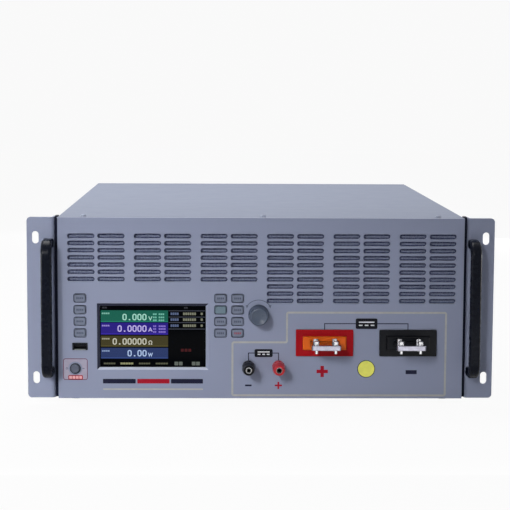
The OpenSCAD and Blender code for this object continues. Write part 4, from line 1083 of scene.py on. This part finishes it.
def unit(axis):
    """Unit vector along the axis of that number."""
    return Vector([float(i == axis) for i in range(3)])


def cross_outline(angles, reach, half):
    """Outline of a cross recess: arms of that reach and half width, at the angles given."""
    outline = []
    for angle in angles:
        turned = (angle + math.pi / 4) % (math.pi / 2) - math.pi / 4
        along, aside = math.cos(turned), abs(math.sin(turned))
        radius = reach / along if aside * reach <= half * along else half / aside
        outline.append((radius * math.cos(angle), radius * math.sin(angle)))
    return outline


def islands(node):
    """Groups of joined points of a node's mesh, one for each screw, in metres."""
    sheet = bmesh.new()
    sheet.from_mesh(nodes[node].data)
    sheet.transform(nodes[node].matrix_world)
    bmesh.ops.remove_doubles(sheet, verts=sheet.verts, dist=SAME_POINT)
    groups, seen = [], set()
    for first in sheet.verts:
        if first in seen:
            continue
        group, waiting = [], [first]
        seen.add(first)
        while waiting:
            vert = waiting.pop()
            group.append(vert.co.copy())
            beside = [edge.other_vert(vert) for edge in vert.link_edges]
            fresh = [other for other in beside if other not in seen]
            seen.update(fresh)
            waiting += fresh
        groups.append(group)
    sheet.free()
    return groups


def add_screw(made, island):
    """A pan-head screw with a cross recess, with the size and place of a group of points."""
    low = Vector([min(p[k] for p in island) for k in range(3)])
    high = Vector([max(p[k] for p in island) for k in range(3)])
    size, centre = high - low, (low + high) / 2
    k = min(range(3), key=lambda i: abs(size[(i + 1) % 3] - size[(i + 2) % 3]))
    away = [(p - centre - (p - centre)[k] * unit(k)).length for p in island]
    wide = [p[k] for p, r in zip(island, away) if r > HEAD_SIDE * max(away)]
    upward = sum(wide) / len(wide) > centre[k]
    axis = unit(k) * (1 if upward else -1)
    across = unit((k + 1) % 3)
    beside = axis.cross(across)
    foot = centre - axis * size[k] / 2
    shank = [r for p, r in zip(island, away) if abs(p[k] - foot[k]) < SAME_LEVEL]
    thread_r, head_r = max(shank) / MM, max(away) / MM
    length, under = size[k] / MM, min(abs(w - foot[k]) for w in wide) / MM
    head_h = length - under
    reach, half = CROSS_REACH * head_r, CROSS_HALF * head_r
    angles = {2 * math.pi * i / SCREW_FACETS for i in range(SCREW_FACETS)}
    for arm in range(4):
        angles |= {(arm * math.pi / 2 + way * math.atan2(half, reach)) % (2 * math.pi) for way in (-1, 1)}
    angles = sorted(angles)

    def circle(radius):
        return [(radius * math.cos(a), radius * math.sin(a)) for a in angles]

    def on_screw(x, z, out):
        return foot + (across * x + beside * z + axis * out) * MM

    loops = [(circle(thread_r), 0), (circle(thread_r), under), (circle(head_r), under)]
    for t in HEAD_STEPS:
        loops.append((circle(head_r * (1 - HEAD_DOME * (t - HEAD_STEPS[0]) ** 2)), under + head_h * t))
    loops.append((cross_outline(angles, reach, half), length))
    floor_z = length - CROSS_DEPTH * head_h
    loops.append((cross_outline(angles, CROSS_TAPER * reach, CROSS_TAPER * half), floor_z))
    made.place = on_screw
    made.loft(loops)


def make_screws(node, material):
    """A node's screws, each with a cross recess."""
    made = Shape()
    for island in islands(node):
        add_screw(made, island)
    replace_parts(made.build(node + "_cross", material, slot="screw_steel"), node)


make_screws("cover_screws", screw_grey)
make_screws("case_screws", screw_steel)


# Rear connectors

INLET = (166.0, 42.0)
BLADES = ((-7, -2), (7, -2), (0, 3.4))
BLADE_HALF, BLADE_R, BLADE_OUT = (1.1, 2.1), 0.5, (-13.5, -0.4)
JACK = (166.0, 96.0)
JACK_OUTER, JACK_INNER, JACK_OUT = (11.7, 7.5, 0.4), (10.7, 6.5, 0.3), (-11.1, 0.5)
SPRINGS, SPRING_PITCH, SPRING_HALF = 8, 1.02, 0.25
SPRING_Z, SPRING_R, SPRING_OUT = (2.5, 3.1), 0.1, (-11.0, -1.0)


def make_rear_contacts():
    """Blades of the mains inlet, and the liner and contact springs of the network jack."""
    blades = Shape(*BLADE_OUT, place=at_rear)
    for shift_x, shift_z in BLADES:
        x, z = INLET[0] + shift_x, INLET[1] + shift_z
        blades.box(x - BLADE_HALF[0], x + BLADE_HALF[0], z - BLADE_HALF[1], z + BLADE_HALF[1], BLADE_R)
    blades.build("inlet_blades", nickel)
    liner = Shape(*JACK_OUT, place=at_rear).ring(rounded(*JACK, *JACK_OUTER), rounded(*JACK, *JACK_INNER))
    liner.build("jack_liner", black_plastic)
    springs = Shape(*SPRING_OUT, place=at_rear)
    for i in range(SPRINGS):
        x = JACK[0] + (i - (SPRINGS - 1) / 2) * SPRING_PITCH
        springs.box(x - SPRING_HALF, x + SPRING_HALF, JACK[1] + SPRING_Z[0], JACK[1] + SPRING_Z[1], SPRING_R)
    springs.build("jack_springs", brass)


make_rear_contacts()
